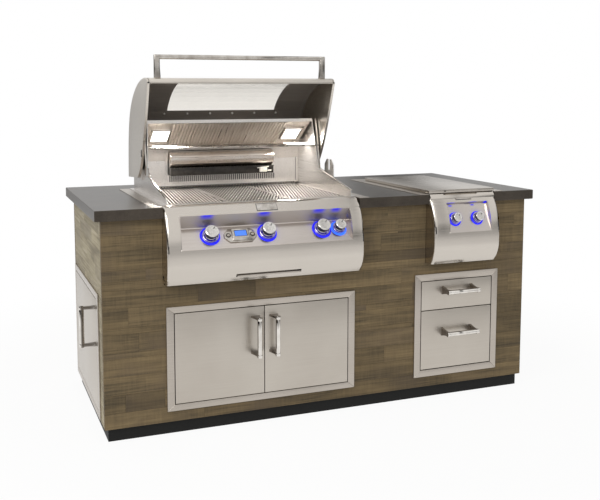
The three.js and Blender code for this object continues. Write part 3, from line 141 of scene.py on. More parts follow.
def turnBy(degrees, axis):
    return Matrix.Rotation(math.radians(degrees), 4, axis)


# With None for the material, the piece keeps the materials that it has
def dress(piece, material, body, slotName, *replaced):
    if material:
        piece.data.materials.clear()
        piece.data.materials.append(material)
    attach(piece, body)
    if replaced:
        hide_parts(*replaced)
    return piece


def bevelled(piece, width, segments=2, angle=30):
    return useModifier(piece, "BEVEL", width=width * mm, segments=segments, limit_method="ANGLE",
                       angle_limit=math.radians(angle), harden_normals=False)


def carve(piece, cutter):
    useModifier(piece, "BOOLEAN", object=cutter, operation="DIFFERENCE", solver="EXACT")
    bpy.data.objects.remove(cutter)


# A block between two corners in millimetres, with rounded edges
def block(name, low, high, bevel=1.0, segments=2):
    clearSelection()
    bpy.ops.mesh.primitive_cube_add(size=1, location=[(a + b) / 2 * mm for a, b in zip(low, high)])
    bpy.context.object.scale = [(b - a) * mm for a, b in zip(low, high)]
    piece = named(name)
    return bevelled(piece, bevel, segments) if bevel else piece


# A flat bar between two points at one height
def slat(name, start, end, wide, high):
    a, b = Vector(start) * mm, Vector(end) * mm
    clearSelection()
    bpy.ops.mesh.primitive_cube_add(size=1, location=(a + b) / 2, rotation=(0, 0, math.atan2(b.y - a.y, b.x - a.x)))
    bpy.context.object.scale = ((b - a).length, wide * mm, high * mm)
    return bevelled(named(name), 0.9, 1)


# A round bar between two points in millimetres
def bar(name, start, end, radius, bevel=0.8, sides=32):
    a, b = Vector(start) * mm, Vector(end) * mm
    clearSelection()
    bpy.ops.mesh.primitive_cylinder_add(vertices=sides, radius=radius * mm, depth=(b - a).length,
                                        location=(a + b) / 2)
    bpy.context.object.rotation_mode = "QUATERNION"
    bpy.context.object.rotation_quaternion = (b - a).to_track_quat("Z", "Y")
    piece = named(name)
    return smooth(bevelled(piece, bevel, 2, 50) if bevel else piece)


# Leaves the piece in edit mode with its last corner selected
def drawLine(name, points):
    clearSelection()
    bpy.ops.mesh.primitive_plane_add(size=0.001, location=points[0])
    piece = named(name)
    bpy.ops.object.mode_set(mode="EDIT")
    bpy.ops.mesh.select_mode(type="VERT")
    bpy.ops.mesh.select_all(action="SELECT")
    bpy.ops.mesh.merge(type="CENTER")
    for a, b in zip(points, points[1:]):
        bpy.ops.mesh.extrude_vertices_move(TRANSFORM_OT_translate={"value": Vector(b) - Vector(a)})
    return piece


# Draws all that is in edit mode out by one run in metres, and leaves edit mode
def drawOut(run):
    bpy.ops.mesh.extrude_region_move(TRANSFORM_OT_translate={"value": run})
    bpy.ops.mesh.select_all(action="SELECT")
    bpy.ops.mesh.normals_make_consistent(inside=False)
    bpy.ops.object.mode_set(mode="OBJECT")


# Solid of a closed outline in millimetres, drawn out along one axis
def prism(name, points, axis, start, end, bevel=0.0, segments=2):
    spots = {"X": lambda u, v: (start * mm, u * mm, v * mm),
             "Y": lambda u, v: (u * mm, start * mm, v * mm),
             "Z": lambda u, v: (u * mm, v * mm, start * mm)}[axis]
    piece = drawLine(name, [spots(u, v) for u, v in points])
    bpy.ops.mesh.select_all(action="SELECT")
    bpy.ops.mesh.edge_face_add()
    drawOut([(end - start) * mm if axis == letter else 0 for letter in "XYZ"])
    return bevelled(piece, bevel, segments, 40) if bevel else piece


# Turned piece from (radius, height) in millimetres about its own Z axis
def turned(name, profile, steps=48):
    piece = drawLine(name, [(r * mm, 0, h * mm) for r, h in profile])
    bpy.ops.mesh.select_all(action="SELECT")
    bpy.ops.mesh.spin(steps=steps, angle=math.tau, center=(0, 0, 0), axis=(0, 0, 1))
    bpy.ops.mesh.select_all(action="SELECT")
    bpy.ops.mesh.remove_doubles(threshold=0.00001)
    bpy.ops.mesh.normals_make_consistent(inside=False)
    bpy.ops.object.mode_set(mode="OBJECT")
    return smooth(piece)


# Deselects every face or edge of the piece, ready to select some of them in code
def startPicking(piece, kind):
    pick(piece)
    bpy.ops.object.mode_set(mode="EDIT")
    bpy.ops.mesh.select_mode(type=kind)
    bpy.ops.mesh.select_all(action="DESELECT")
    bpy.ops.object.mode_set(mode="OBJECT")


# Selects faces by a test on their centre in millimetres and their normal, and stays in edit mode
def selectFaces(piece, test):
    startPicking(piece, "FACE")
    for face in piece.data.polygons:
        face.select = bool(test(face.center / mm, face.normal))
    bpy.ops.object.mode_set(mode="EDIT")


def deleteFaces(piece, test):
    selectFaces(piece, test)
    bpy.ops.mesh.delete(type="FACE")
    bpy.ops.object.mode_set(mode="OBJECT")


# Rounds the edges whose two ends, in millimetres, pass the test
def roundEdges(piece, width, segments, test):
    startPicking(piece, "EDGE")
    for edge in piece.data.edges:
        edge.select = bool(test(*(piece.data.vertices[i].co / mm for i in edge.vertices)))
    bpy.ops.object.mode_set(mode="EDIT")
    bpy.ops.mesh.bevel(offset=width * mm, segments=segments, profile=0.5)
    bpy.ops.object.mode_set(mode="OBJECT")


def bisectAt(piece, spot, normal):
    pick(piece)
    bpy.ops.object.mode_set(mode="EDIT")
    bpy.ops.mesh.select_all(action="SELECT")
    bpy.ops.mesh.bisect(plane_co=[v * mm for v in spot], plane_no=normal)
    bpy.ops.object.mode_set(mode="OBJECT")


# Cuts the faces through along the four sides of an upright rectangle
def scoreAround(piece, x0, x1, z0, z1):
    for x in (x0, x1):
        bisectAt(piece, (x, 0, 0), (1, 0, 0))
    for z in (z0, z1):
        bisectAt(piece, (0, 0, z), (0, 0, 1))


# A box with one side left open and walls of sheet
def pan(name, low, high, openTest, wall, bevel=2.0):
    piece = block(name, low, high, bevel, 3)
    deleteFaces(piece, openTest)
    return useModifier(piece, "SOLIDIFY", thickness=wall * mm, offset=-1)


# Smooth line through corners, with even steps (centripetal, as the model's own outlines)
def smoothLine(corners, count):
    spots = [Vector((u, v, 0)) for u, v in corners]
    spots = [2 * spots[0] - spots[1], *spots, 2 * spots[-1] - spots[-2]]
    fine = 24
    dense = []
    for i in range(1, len(spots) - 2):
        p0, p1, p2, p3 = spots[i - 1:i + 3]
        gaps = [(b - a).length ** 0.5 for a, b in ((p0, p1), (p1, p2), (p2, p3))]
        m1 = ((p1 - p0) / gaps[0] - (p2 - p0) / (gaps[0] + gaps[1]) + (p2 - p1) / gaps[1]) * gaps[1]
        m2 = ((p2 - p1) / gaps[1] - (p3 - p1) / (gaps[1] + gaps[2]) + (p3 - p2) / gaps[2]) * gaps[1]
        for step in range(fine):
            t = step / fine
            dense.append(p1 * (2 * t ** 3 - 3 * t ** 2 + 1) + m1 * (t ** 3 - 2 * t ** 2 + t)
                         + p2 * (3 * t ** 2 - 2 * t ** 3) + m2 * (t ** 3 - t ** 2))
    dense.append(spots[-2])
    runs = [0]
    for a, b in zip(dense, dense[1:]):
        runs.append(runs[-1] + (b - a).length)
    line = []
    for step in range(count + 1):
        want = runs[-1] * step / count
        i = min(max(next((k for k, r in enumerate(runs) if r >= want), len(runs) - 1), 1), len(runs) - 1)
        share = (want - runs[i - 1]) / max(runs[i] - runs[i - 1], 1e-9)
        spot = dense[i - 1].lerp(dense[i], share)
        line.append((spot.x, spot.y))
    return line


# Height-to-depth lookup on a line that runs downwards
def depthAt(line, z):
    i = next(k for k, point in enumerate(line) if point[1] <= z)
    i = max(i, 1)
    (y0, z0), (y1, z1) = line[i - 1], line[i]
    return y0 + (y1 - y0) * (z - z0) / (z1 - z0)


print("helpers ready")

# Camera: where the photograph was taken from, in millimetres and degrees
view = {"place": (-1449.28, -3572.73, 1347.73), "azimuth": -20.395, "elevation": 5.805, "roll": -0.122,
        "lens": 50.742, "sensor": 36, "shiftX": 0.0455, "shiftY": -0.1167}
az, el, roll = (math.radians(view[key]) for key in ("azimuth", "elevation", "roll"))
back = Vector((math.sin(az) * math.cos(el), -math.cos(az) * math.cos(el), math.sin(el)))
right = (-back).cross(Vector((0, 0, 1))).normalized()
up = right.cross(-back)
sideways = right * math.cos(roll) + up * math.sin(roll)
upwards = up * math.cos(roll) - right * math.sin(roll)
clearSelection()
bpy.ops.object.camera_add()
camera = bpy.context.object
camera.matrix_world = Matrix((
    (sideways.x, upwards.x, back.x, view["place"][0] * mm),
    (sideways.y, upwards.y, back.y, view["place"][1] * mm),
    (sideways.z, upwards.z, back.z, view["place"][2] * mm),
    (0, 0, 0, 1)))
camera.data.lens = view["lens"]
camera.data.sensor_width = view["sensor"]
camera.data.shift_x = view["shiftX"]
camera.data.shift_y = view["shiftY"]
bpy.context.scene.camera = camera
bpy.context.scene.view_settings.view_transform = "Standard"

# Studio: a soft sky for the matt faces, and for the metal a white hall with dimmer walls to mirror
studio = {"sky": 0.66, "skyColor": "F4F3F0", "gloss": 0.97, "sideWall": 0.8, "horizon": 0.45, "gap": 0.7,
          "floor": "EDEDEB", "floorRough": 0.9, "floorSize": 40, "fadeStart": 1.4, "fadeEnd": 2.4,
          "shadowShare": 0.07, "duskStart": 3.2, "duskEnd": 8}
world = bpy.data.worlds.new("studio")
bpy.context.scene.world = world
world.use_nodes = True
sky = world.node_tree
sky.nodes.clear()
rays = addNode(sky, "ShaderNodeLightPath")
seen = addNode(sky, "ShaderNodeMath", {"operation": "MAXIMUM"},
               {0: rays.outputs["Is Camera Ray"], 1: rays.outputs["Is Transmission Ray"]})
softSky = addNode(sky, "ShaderNodeBackground", {"Color": hexColor(studio["skyColor"]), "Strength": studio["sky"]})
around = addNode(sky, "ShaderNodeSeparateXYZ", None, {0: addNode(sky, "ShaderNodeTexCoord").outputs["Generated"]})
aside = addNode(sky, "ShaderNodeMath", {"operation": "ABSOLUTE"}, {0: around.outputs["X"]})
level = addNode(sky, "ShaderNodeMath", {"operation": "ABSOLUTE"}, {0: around.outputs["Z"]})
shade = {}
for name, source, (start, end), (first, last) in (
        ("sideWalls", aside.outputs[0], (0.55, 0.92), (0, studio["sideWall"])),
        ("underRoof", around.outputs["Z"], (0.1, 0.5), (1, 0)),
        ("horizon", level.outputs[0], (0.02, 0.17), (studio["horizon"], 0)),
        # A darker gap between two walls, ahead to the right
        ("gapStart", around.outputs["X"], (0.41, 0.44), (0, studio["gap"])),
        ("gapEnd", around.outputs["X"], (0.48, 0.52), (1, 0))):
    settings = {"From Min": start, "From Max": end, "To Min": first, "To Max": last}
    shade[name] = addNode(sky, "ShaderNodeMapRange", settings, {"Value": source}).outputs[0]
dim = addNode(sky, "ShaderNodeMath", {"operation": "MULTIPLY_ADD"},
              {0: shade["sideWalls"], 1: shade["underRoof"], 2: shade["horizon"]})
dim = addNode(sky, "ShaderNodeMath", {"operation": "MULTIPLY_ADD"},
              {0: shade["gapStart"], 1: shade["gapEnd"], 2: dim.outputs[0]})
left = addNode(sky, "ShaderNodeMath", {"operation": "SUBTRACT", 0: studio["gloss"]}, {1: dim.outputs[0]})
glossSky = addNode(sky, "ShaderNodeBackground", {"Color": hexColor("FFFFFF")}, {"Strength": left.outputs[0]})
whiteSky = addNode(sky, "ShaderNodeBackground", {"Color": hexColor("FFFFFF"), "Strength": 1})
glossMix = addNode(sky, "ShaderNodeMixShader", None,
                   {0: rays.outputs["Is Glossy Ray"], 1: softSky.outputs[0], 2: glossSky.outputs[0]})
skyMix = addNode(sky, "ShaderNodeMixShader", None,
                 {0: seen.outputs[0], 1: glossMix.outputs[0], 2: whiteSky.outputs[0]})
addNode(sky, "ShaderNodeOutputWorld", None, {"Surface": skyMix.outputs[0]})

# Two soft boxes; only the key is seen in the metal
for lampName, spot, aim, power, size in (("key", (-3.4, -2.6, 3.4), (-0.2, -0.2, 0.6), 105, 2.6),
                                         ("fill", (3.2, -3.6, 2.4), (0.2, 0, 0.6), 26, 2.2)):
    clearSelection()
    bpy.ops.object.light_add(type="AREA", location=spot)
    lamp = bpy.context.object
    lamp.name = lampName
    lamp.data.energy = power
    lamp.data.size = size
    lamp.rotation_mode = "QUATERNION"
    lamp.rotation_quaternion = (Vector(spot) - Vector(aim)).to_track_quat("Z", "Y")
    lamp.visible_glossy = lampName == "key"

# The two halogen lamps in the hood are on
halogen = {"x": (-614, 6), "y": 85, "z": 1140, "wide": 80, "high": 50, "power": 1.5, "color": (1, 0.98, 0.95),
           "tilt": -22}
for x in halogen["x"]:
    clearSelection()
    bpy.ops.object.light_add(type="AREA", location=(x * mm, halogen["y"] * mm, halogen["z"] * mm))
    lamp = bpy.context.object
    lamp.name = "halogen"
    lamp.data.shape = "RECTANGLE"
    lamp.data.size, lamp.data.size_y = halogen["wide"] * mm, halogen["high"] * mm
    lamp.data.energy = halogen["power"]
    lamp.data.color = halogen["color"]
    lamp.rotation_euler = (math.radians(halogen["tilt"]), 0, 0)

# The floor keeps the shadow near the island and turns to the white background further out; where metal mirrors it,
# it is dim far away
clearSelection()
bpy.ops.mesh.primitive_plane_add(size=studio["floorSize"])
floor = named("floor")
floorLook, tree, shader = newMaterial("paleFloor", {"Base Color": hexColor(studio["floor"]),
                                                    "Roughness": studio["floorRough"]})
rays = addNode(tree, "ShaderNodeLightPath")
direct = addNode(tree, "ShaderNodeMath", {"operation": "MAXIMUM"},
                 {0: rays.outputs["Is Camera Ray"], 1: rays.outputs["Is Transmission Ray"]})
direct = addNode(tree, "ShaderNodeMath", {"operation": "MAXIMUM"},
                 {0: direct.outputs[0], 1: rays.outputs["Is Glossy Ray"]})
far = addNode(tree, "ShaderNodeVectorMath", {"operation": "LENGTH"},
              {0: addNode(tree, "ShaderNodeTexCoord").outputs["Object"]})
fade = addNode(tree, "ShaderNodeMapRange",
               {"From Min": studio["fadeStart"], "From Max": studio["fadeEnd"], "To Min": 1 - studio["shadowShare"],
                "To Max": 1}, {"Value": far.outputs["Value"]})
share = addNode(tree, "ShaderNodeMath", {"operation": "MULTIPLY"}, {0: direct.outputs[0], 1: fade.outputs[0]})
dusk = addNode(tree, "ShaderNodeMapRange",
               {"From Min": studio["duskStart"], "From Max": studio["duskEnd"], "To Min": 0,
                "To Max": studio["horizon"]}, {"Value": far.outputs["Value"]})
dusk = addNode(tree, "ShaderNodeMath", {"operation": "MULTIPLY"},
               {0: dusk.outputs[0], 1: rays.outputs["Is Glossy Ray"]})
level = addNode(tree, "ShaderNodeMath", {"operation": "SUBTRACT", 0: 1}, {1: dusk.outputs[0]})
glow = addNode(tree, "ShaderNodeEmission", {"Color": hexColor("FFFFFF")}, {"Strength": level.outputs[0]})
mixed = addNode(tree, "ShaderNodeMixShader", None, {0: share.outputs[0], 1: shader.outputs[0], 2: glow.outputs[0]})
link(tree, tree.nodes["Material Output"], {"Surface": mixed.outputs[0]})
floor.data.materials.append(floorLook)
print("camera, light and floor ready")


# Stainless sheet, brushed with a belt: straight streaks, and soft clouds where the belt pressed harder. The real
# streaks are a tenth of a millimetre wide, too fine to show, so they are drawn 1 to 3 mm wide and 200 mm long
def brushedSteel(name, light, dark, streaks, rough=(0.24, 0.36), bump=0.04, metallic=1.0):
    material, tree, shader = newMaterial(name, {"Metallic": metallic})
    spot = addNode(tree, "ShaderNodeTexCoord")
    along = addNode(tree, "ShaderNodeMapping", {"Scale": streaks}, {"Vector": spot.outputs["Object"]})
    lines = addNode(tree, "ShaderNodeTexNoise", {"Scale": 1, "Detail": 4, "Roughness": 0.65},
                    {"Vector": along.outputs["Vector"]})
    clouds = addNode(tree, "ShaderNodeTexNoise", {"Scale": 4.5, "Detail": 3}, {"Vector": spot.outputs["Object"]})
    half = addNode(tree, "ShaderNodeMath", {"operation": "MULTIPLY", 1: 0.45}, {0: clouds.outputs["Fac"]})
    blend = addNode(tree, "ShaderNodeMath", {"operation": "MULTIPLY_ADD", 1: 0.55},
                    {0: lines.outputs["Fac"], 2: half.outputs[0]})
    tone = addNode(tree, "ShaderNodeValToRGB", {"stops": ((0.36, dark), (0.62, light))},
                   {"Fac": blend.outputs[0]})
    dull = addNode(tree, "ShaderNodeMapRange",
                   {"From Min": 0.3, "From Max": 0.7, "To Min": rough[0], "To Max": rough[1]},
                   {"Value": lines.outputs["Fac"]})
    relief = addNode(tree, "ShaderNodeBump", {"Strength": bump, "Distance": 0.0006},
                     {"Height": lines.outputs["Fac"]})
    link(tree, shader, {"Base Color": tone.outputs["Color"], "Roughness": dull.outputs["Result"],
                        "Normal": relief.outputs["Normal"]})
    return material


# Buffed stainless and chrome plate: mirror-like, with faint smears some 45 mm across that dull it a little
def polishedSteel(name, light, dark, rough=(0.06, 0.14)):
    material, tree, shader = newMaterial(name, {"Metallic": 1.0})
    spot = addNode(tree, "ShaderNodeTexCoord")
    smears = addNode(tree, "ShaderNodeTexNoise", {"Scale": 22, "Detail": 5, "Roughness": 0.6},
                     {"Vector": spot.outputs["Object"]})
    tone = addNode(tree, "ShaderNodeValToRGB", {"stops": ((0.35, dark), (0.65, light))},
                   {"Fac": smears.outputs["Fac"]})
    dull = addNode(tree, "ShaderNodeMapRange",
                   {"From Min": 0.3, "From Max": 0.7, "To Min": rough[0], "To Max": rough[1]},
                   {"Value": smears.outputs["Fac"]})
    link(tree, shader, {"Base Color": tone.outputs["Color"], "Roughness": dull.outputs["Result"]})
    return material


# Sprayed coats, mouldings and castings: two tones of grit with a little relief, so that they look matt and even
def grainyCoat(name, light, dark, grain, rough, bump, metallic=0.0, specular=0.5):
    material, tree, shader = newMaterial(name, {"Metallic": metallic, "Specular IOR Level": specular})
    spot = addNode(tree, "ShaderNodeTexCoord")
    grit = addNode(tree, "ShaderNodeTexNoise", {"Scale": grain, "Detail": 6, "Roughness": 0.7},
                   {"Vector": spot.outputs["Object"]})
    tone = addNode(tree, "ShaderNodeValToRGB", {"stops": ((0.34, dark), (0.66, light))},
                   {"Fac": grit.outputs["Fac"]})
    dull = addNode(tree, "ShaderNodeMapRange",
                   {"From Min": 0.3, "From Max": 0.7, "To Min": rough[0], "To Max": rough[1]},
                   {"Value": grit.outputs["Fac"]})
    relief = addNode(tree, "ShaderNodeBump", {"Strength": bump, "Distance": 0.001}, {"Height": grit.outputs["Fac"]})
    link(tree, shader, {"Base Color": tone.outputs["Color"], "Roughness": dull.outputs["Result"],
                        "Normal": relief.outputs["Normal"]})
    return material


# Laminate boards printed and pressed as weathered sawn timber: each has its own tone and grain, and none shines
def weatheredPlanks(name, alongAxis, light, middle, dark, purple):
    material, tree, shader = newMaterial(name, {"Specular IOR Level": 0.3})
    spot = addNode(tree, "ShaderNodeTexCoord")
    board = addNode(tree, "ShaderNodeAttribute", {"attribute_name": "boardTone"})
    shifted = addNode(tree, "ShaderNodeVectorMath", {"operation": "MULTIPLY_ADD", 1: (7.3, 7.3, 3.1)},
                      {0: board.outputs["Color"], 2: spot.outputs["Object"]})
    layers = {}
    mixed = None
    for layer, (along, across, deep), settings, part in (
            # Grain 2 to 4 mm across and some 300 mm long
            ("grain", (3.2, 260, 150), {"Detail": 8, "Roughness": 0.62, "Distortion": 0.35}, 0.38),
            # Broad bands of heartwood, 60 mm across
            ("bands", (2.8, 16, 15), {"Detail": 4, "Roughness": 0.55, "Distortion": 0.8}, 0.38),
            # Saw marks across the grain, in truth 3 to 5 mm apart and drawn 10 mm apart so that they show
            ("saws", (95, 9, 8), {"Detail": 5, "Roughness": 0.7, "Distortion": 0.5}, 0.17)):
        scale = (along, across, deep) if alongAxis == "X" else (across, along, deep)
        mapped = addNode(tree, "ShaderNodeMapping", {"Scale": scale}, {"Vector": shifted.outputs["Vector"]})
        layers[layer] = addNode(tree, "ShaderNodeTexNoise", {"Scale": 1, **settings},
                                {"Vector": mapped.outputs["Vector"]})
        mixed = addNode(tree, "ShaderNodeMath", {"operation": "MULTIPLY_ADD", 1: part, 2: 0},
                        {0: layers[layer].outputs["Fac"], **({2: mixed.outputs[0]} if mixed else {})})
    tone = addNode(tree, "ShaderNodeValToRGB", {"stops": ((0.35, dark), (0.66, light), (0.49, middle))},
                   {"Fac": mixed.outputs[0]})
    # Greyer patches some 300 mm across
    patches = addNode(tree, "ShaderNodeTexNoise", {"Scale": 3.1, "Detail": 3, "Roughness": 0.5},
                      {"Vector": shifted.outputs["Vector"]})
    patchShare = addNode(tree, "ShaderNodeMapRange", {"From Min": 0.5, "From Max": 0.68, "To Min": 0, "To Max": 0.55},
                         {"Value": patches.outputs["Fac"]})
    tinted = addNode(tree, "ShaderNodeMix", {"data_type": "RGBA", 7: hexColor(purple)},
                     {0: patchShare.outputs["Result"], 6: tone.outputs["Color"]})
    boardBright = addNode(tree, "ShaderNodeSeparateColor", None, {"Color": board.outputs["Color"]})
    value = addNode(tree, "ShaderNodeMapRange", {"From Min": 0, "From Max": 1, "To Min": 0.6, "To Max": 1.3},
                    {"Value": boardBright.outputs["Red"]})
    shaded = addNode(tree, "ShaderNodeHueSaturation", {"Saturation": 1.0},
                     {"Value": value.outputs["Result"], "Color": tinted.outputs[2]})
    relief = addNode(tree, "ShaderNodeBump", {"Strength": 0.35, "Distance": 0.0008}, {"Height": mixed.outputs[0]})
    dull = addNode(tree, "ShaderNodeMapRange", {"From Min": 0.3, "From Max": 0.7, "To Min": 0.72, "To Max": 0.58},
                   {"Value": layers["grain"].outputs["Fac"]})
    link(tree, shader, {"Base Color": shaded.outputs["Color"], "Roughness": dull.outputs["Result"],
                        "Normal": relief.outputs["Normal"]})
    return material


# Granite slab, honed and sealed: dark grey with specks of 1 to 3 mm and clouds of 100 mm, and a soft sheen
def honedStone(name):
    material, tree, shader = newMaterial(name, {
        "Roughness": 0.31, "Specular IOR Level": 0.5, "Specular Tint": hexColor("FFEEDC"), "Coat Weight": 0.04,
        "Coat Roughness": 0.2})
    spot = addNode(tree, "ShaderNodeTexCoord")
    clouds = addNode(tree, "ShaderNodeTexNoise", {"Scale": 9, "Detail": 8, "Roughness": 0.68},
                     {"Vector": spot.outputs["Object"]})
    specks = addNode(tree, "ShaderNodeTexVoronoi", {"Scale": 420}, {"Vector": spot.outputs["Object"]})
    grit = addNode(tree, "ShaderNodeTexNoise", {"Scale": 240, "Detail": 4, "Roughness": 0.7},
                   {"Vector": spot.outputs["Object"]})
    half = addNode(tree, "ShaderNodeMath", {"operation": "MULTIPLY", 1: 0.5}, {0: clouds.outputs["Fac"]})
    blend = addNode(tree, "ShaderNodeMath", {"operation": "MULTIPLY_ADD", 1: 0.5},
                    {0: grit.outputs["Fac"], 2: half.outputs[0]})
    tone = addNode(tree, "ShaderNodeValToRGB", {"stops": ((0.36, "201D1A"), (0.64, "413B35"))},
                   {"Fac": blend.outputs[0]})
    pale = addNode(tree, "ShaderNodeMapRange", {"From Min": 0, "From Max": 0.26, "To Min": 0.42, "To Max": 0},
                   {"Value": specks.outputs["Distance"]})
    flecked = addNode(tree, "ShaderNodeMix", {"data_type": "RGBA", 7: hexColor("83796C")},
                      {0: pale.outputs["Result"], 6: tone.outputs["Color"]})
    relief = addNode(tree, "ShaderNodeBump", {"Strength": 0.14, "Distance": 0.0008}, {"Height": grit.outputs["Fac"]})
    link(tree, shader, {"Base Color": flecked.outputs[2], "Normal": relief.outputs["Normal"]})
    return material


# A moulded lens lit from behind: an even glow with the faint unevenness of the lamp behind it
def litFace(name, color, dark, strength, grain):
    material, tree, shader = newMaterial(name, {"Roughness": 0.25, "Emission Strength": strength})
    spot = addNode(tree, "ShaderNodeTexCoord")
    cells = addNode(tree, "ShaderNodeTexNoise", {"Scale": grain, "Detail": 3}, {"Vector": spot.outputs["Object"]})
    tone = addNode(tree, "ShaderNodeValToRGB", {"stops": ((0.35, dark), (0.6, color))},
                   {"Fac": cells.outputs["Fac"]})
    link(tree, shader, {"Base Color": tone.outputs["Color"], "Emission Color": tone.outputs["Color"]})
    return material


# Mixes a finish with a second colour or value where the mesh carries an attribute, and returns that attribute
def overlay(material, attribute, socket, value):
    tree = material.node_tree
    shader = tree.nodes["Principled BSDF"]
    share = addNode(tree, "ShaderNodeAttribute", {"attribute_name": attribute})
    plain = shader.inputs[socket].links[0].from_socket
    if socket == "Roughness":
        mixed = addNode(tree, "ShaderNodeMix", {"data_type": "FLOAT", 3: value},
                        {0: share.outputs["Fac"], 2: plain})
        link(tree, shader, {socket: mixed.outputs[0]})
    else:
        mixed = addNode(tree, "ShaderNodeMix", {"data_type": "RGBA", 7: hexColor(value)},
                        {0: share.outputs["Fac"], 6: plain})
        link(tree, shader, {socket: mixed.outputs[2]})
    return share


# Brushed stainless sheet of the frames, doors, hood, curved panels, lid and burner guard: satin, in a copy for each
# part that is a little lighter or darker, painted light and shade for how brightly that part is lit
sheetSteel = brushedSteel("brushedSheetSteel", "BDB5AC", "B2AAA0", (5, 420, 760), (0.26, 0.38), 0.015)
doorSteel = brushedSteel("brushedDoorSteel", "C3BCB2", "B9B1A7", (5, 420, 760), (0.28, 0.4), 0.015)
hoodSteel = brushedSteel("brushedHoodSteel", "DBD4CA", "CDC6BC", (5, 500, 500), (0.24, 0.36), 0.02)
panelSteel = brushedSteel("brushedPanelSteel", "CFC8BF", "CAC3BA", (5, 600, 600), (0.17, 0.25), 0.01)
coverSteel = brushedSteel("brushedCoverSteel", "C3BCB3", "B9B2A9", (5, 600, 600), (0.22, 0.32), 0.015)
guardSteel = brushedSteel("brushedGuardSteel", "E6DFD8", "C6B9AC", (6, 240, 240), (0.14, 0.24))
# Firebox walls, brushed from front to back: a film of heat takes some of the metal's shine
boxSteel = brushedSteel("brushedBoxSteel", "DEDAD6", "C8C3BE", (420, 8, 760), (0.24, 0.38), 0.03, 0.85)
# The knobs' tops are brushed in all directions
capSteel = brushedSteel("brushedKnobTop", "DAD7D3", "C4C0BB", (300, 300, 300), (0.22, 0.32))
# Buffed sheet in the control pockets: its upper fold is duller and painted darker as shade, and the blue light of the
# rings is painted on it
fasciaSteel = brushedSteel("buffedPocketSteel", "CEC6BF", "C2BAB3", (5, 420, 420), (0.16, 0.24), 0.01)
# Painted shade on the upper fold, and a duller finish there
overlay(fasciaSteel, "upperFoldDullShade", "Base Color", "B6AEA8")
overlay(fasciaSteel, "upperFoldDullShade", "Roughness", 0.5)
spill = overlay(fasciaSteel, "ringLight", "Base Color", "05052A")
shader = fasciaSteel.node_tree.nodes["Principled BSDF"]
shader.inputs["Emission Color"].default_value = hexColor("1414F0")
link(fasciaSteel.node_tree, shader, {"Emission Strength": spill.outputs["Fac"]})
# Buffed stainless of the trims and the hood's handle: nearly a mirror
mirrorSteel = polishedSteel("buffedSteel", "CFCAC3", "A8A199", (0.1, 0.18))
# The bar pulls are buffed brighter, and their flanks are painted dark as a reflection of the darker side of the room
pullSteel = polishedSteel("pullSteel", "EAE6E0", "D3CEC7", (0.05, 0.11))
overlay(pullSteel, "flankShade", "Base Color", "6F6861")
# Chrome plate on the knobs: the sharpest mirror here
chrome = polishedSteel("knobChrome", "E9E7E4", "D2CFCB", (0.04, 0.1))
# Stainless bars of the cooking grates, blasted: pale and matt on top; their sides dull and painted dark brown as the
# shade in the gaps between the bars
grateSteel = brushedSteel("grateBarSteel", "DAD4CF", "C4BDB5", (200, 200, 200), (0.4, 0.54), 0.02, 0.8)
barShade = brushedSteel("grateBarSidesShade", "6E675F", "57514B", (200, 200, 200), (0.45, 0.6), 0.02, 0.2)
# Drawn wire of the rack: half bright
rodSteel = polishedSteel("rackRodSteel", "C4BEB7", "8F8880", (0.2, 0.34))
# Rolled ribs of the reflector, with light and dark streaks along the ribs, painted highlights and shade
reflectorSteel = brushedSteel("ribbedReflector", "EEE8E1", "CFC5BB", (150, 5, 5), (0.26, 0.38), 0.02, 0.9)
# Stainless browned by heat: hardly any shine left
darkSteel = brushedSteel("heatDarkSteel", "8A837C", "79726C", (6, 420, 420), (0.46, 0.6), 0.05, 0.12)
# Enamel fired on the rear burner's face: black and glossy with small waves
glazedBurner = brushedSteel("glazedBurnerFace", "433F3B", "2D2A27", (60, 60, 60), (0.12, 0.22), 0.03, 0.4)
# Steel frame and gas pipe as they left the mill: flat grey
millSteel = brushedSteel("millFinishFrame", "9A9894", "85837F", (5, 300, 300), (0.42, 0.56))
# Sand-cast iron: grit of 2 mm, dark and rough
castIron = grainyCoat("castBurnerIron", "55514D", "3A3734", 480, (0.55, 0.75), 0.3, 0.6)
# Black paint sprayed on the kick board: deep and flat
kickPaint = grainyCoat("mattBlackKick", "1B1B1A", "0F0F0E", 160, (0.5, 0.68), 0.12, specular=0.22)
# Moulded black plastic, its etched grain drawn 1.4 mm so that it shows: soft highlights
blackPlastic = grainyCoat("blackMouldedPlastic", "1E1D1C", "131211", 700, (0.4, 0.55), 0.08)
# Painted shade for the inside of punched slots, seams and gaps: black, since no light comes back out
darkSlot = grainyCoat("darkRecess", "151413", "0B0B0A", 300, (0.7, 0.85), 0.05)
# Fired ceramic of the igniter: cream and slightly glossy
whiteCeramic = grainyCoat("igniterCeramic", "EFEBE2", "CFC9BC", 90, (0.2, 0.35), 0.1)
# Front and rear in brown; the left end paler, part bleached and part painted light; the right end plainer, in painted
# shade
frontPlanks = weatheredPlanks("weatheredPlanksFront", "X", "8B7857", "706046", "4E4433", "5C5043")
paleLitEndPlanks = weatheredPlanks("weatheredPlanksEndPaleLit", "Y", "BDB39E", "A1977F", "776E5C", "8F8779")
shadedRightPlanks = weatheredPlanks("weatheredPlanksRightShaded", "Y", "82714F", "6A5B3F", "4B4130", "594D40")
slabStone = honedStone("honedGranite")
# Frosted glass of the halogen lamps, a back-lit display, and moulded rings with blue diodes behind them
lampGlow = litFace("halogenLens", "FFFFFF", "FFF8EE", 1.4, 60)
screenGlow = litFace("blueScreen", "4C7FE0", "3A6BD0", 0.5, 900)
ringGlow = litFace("blueRingLight", "1616E6", "0A0AC0", 0.8, 500)
paleRingGlow = litFace("paleRingLight", "2F6CFF", "1E50F0", 1.0, 500)
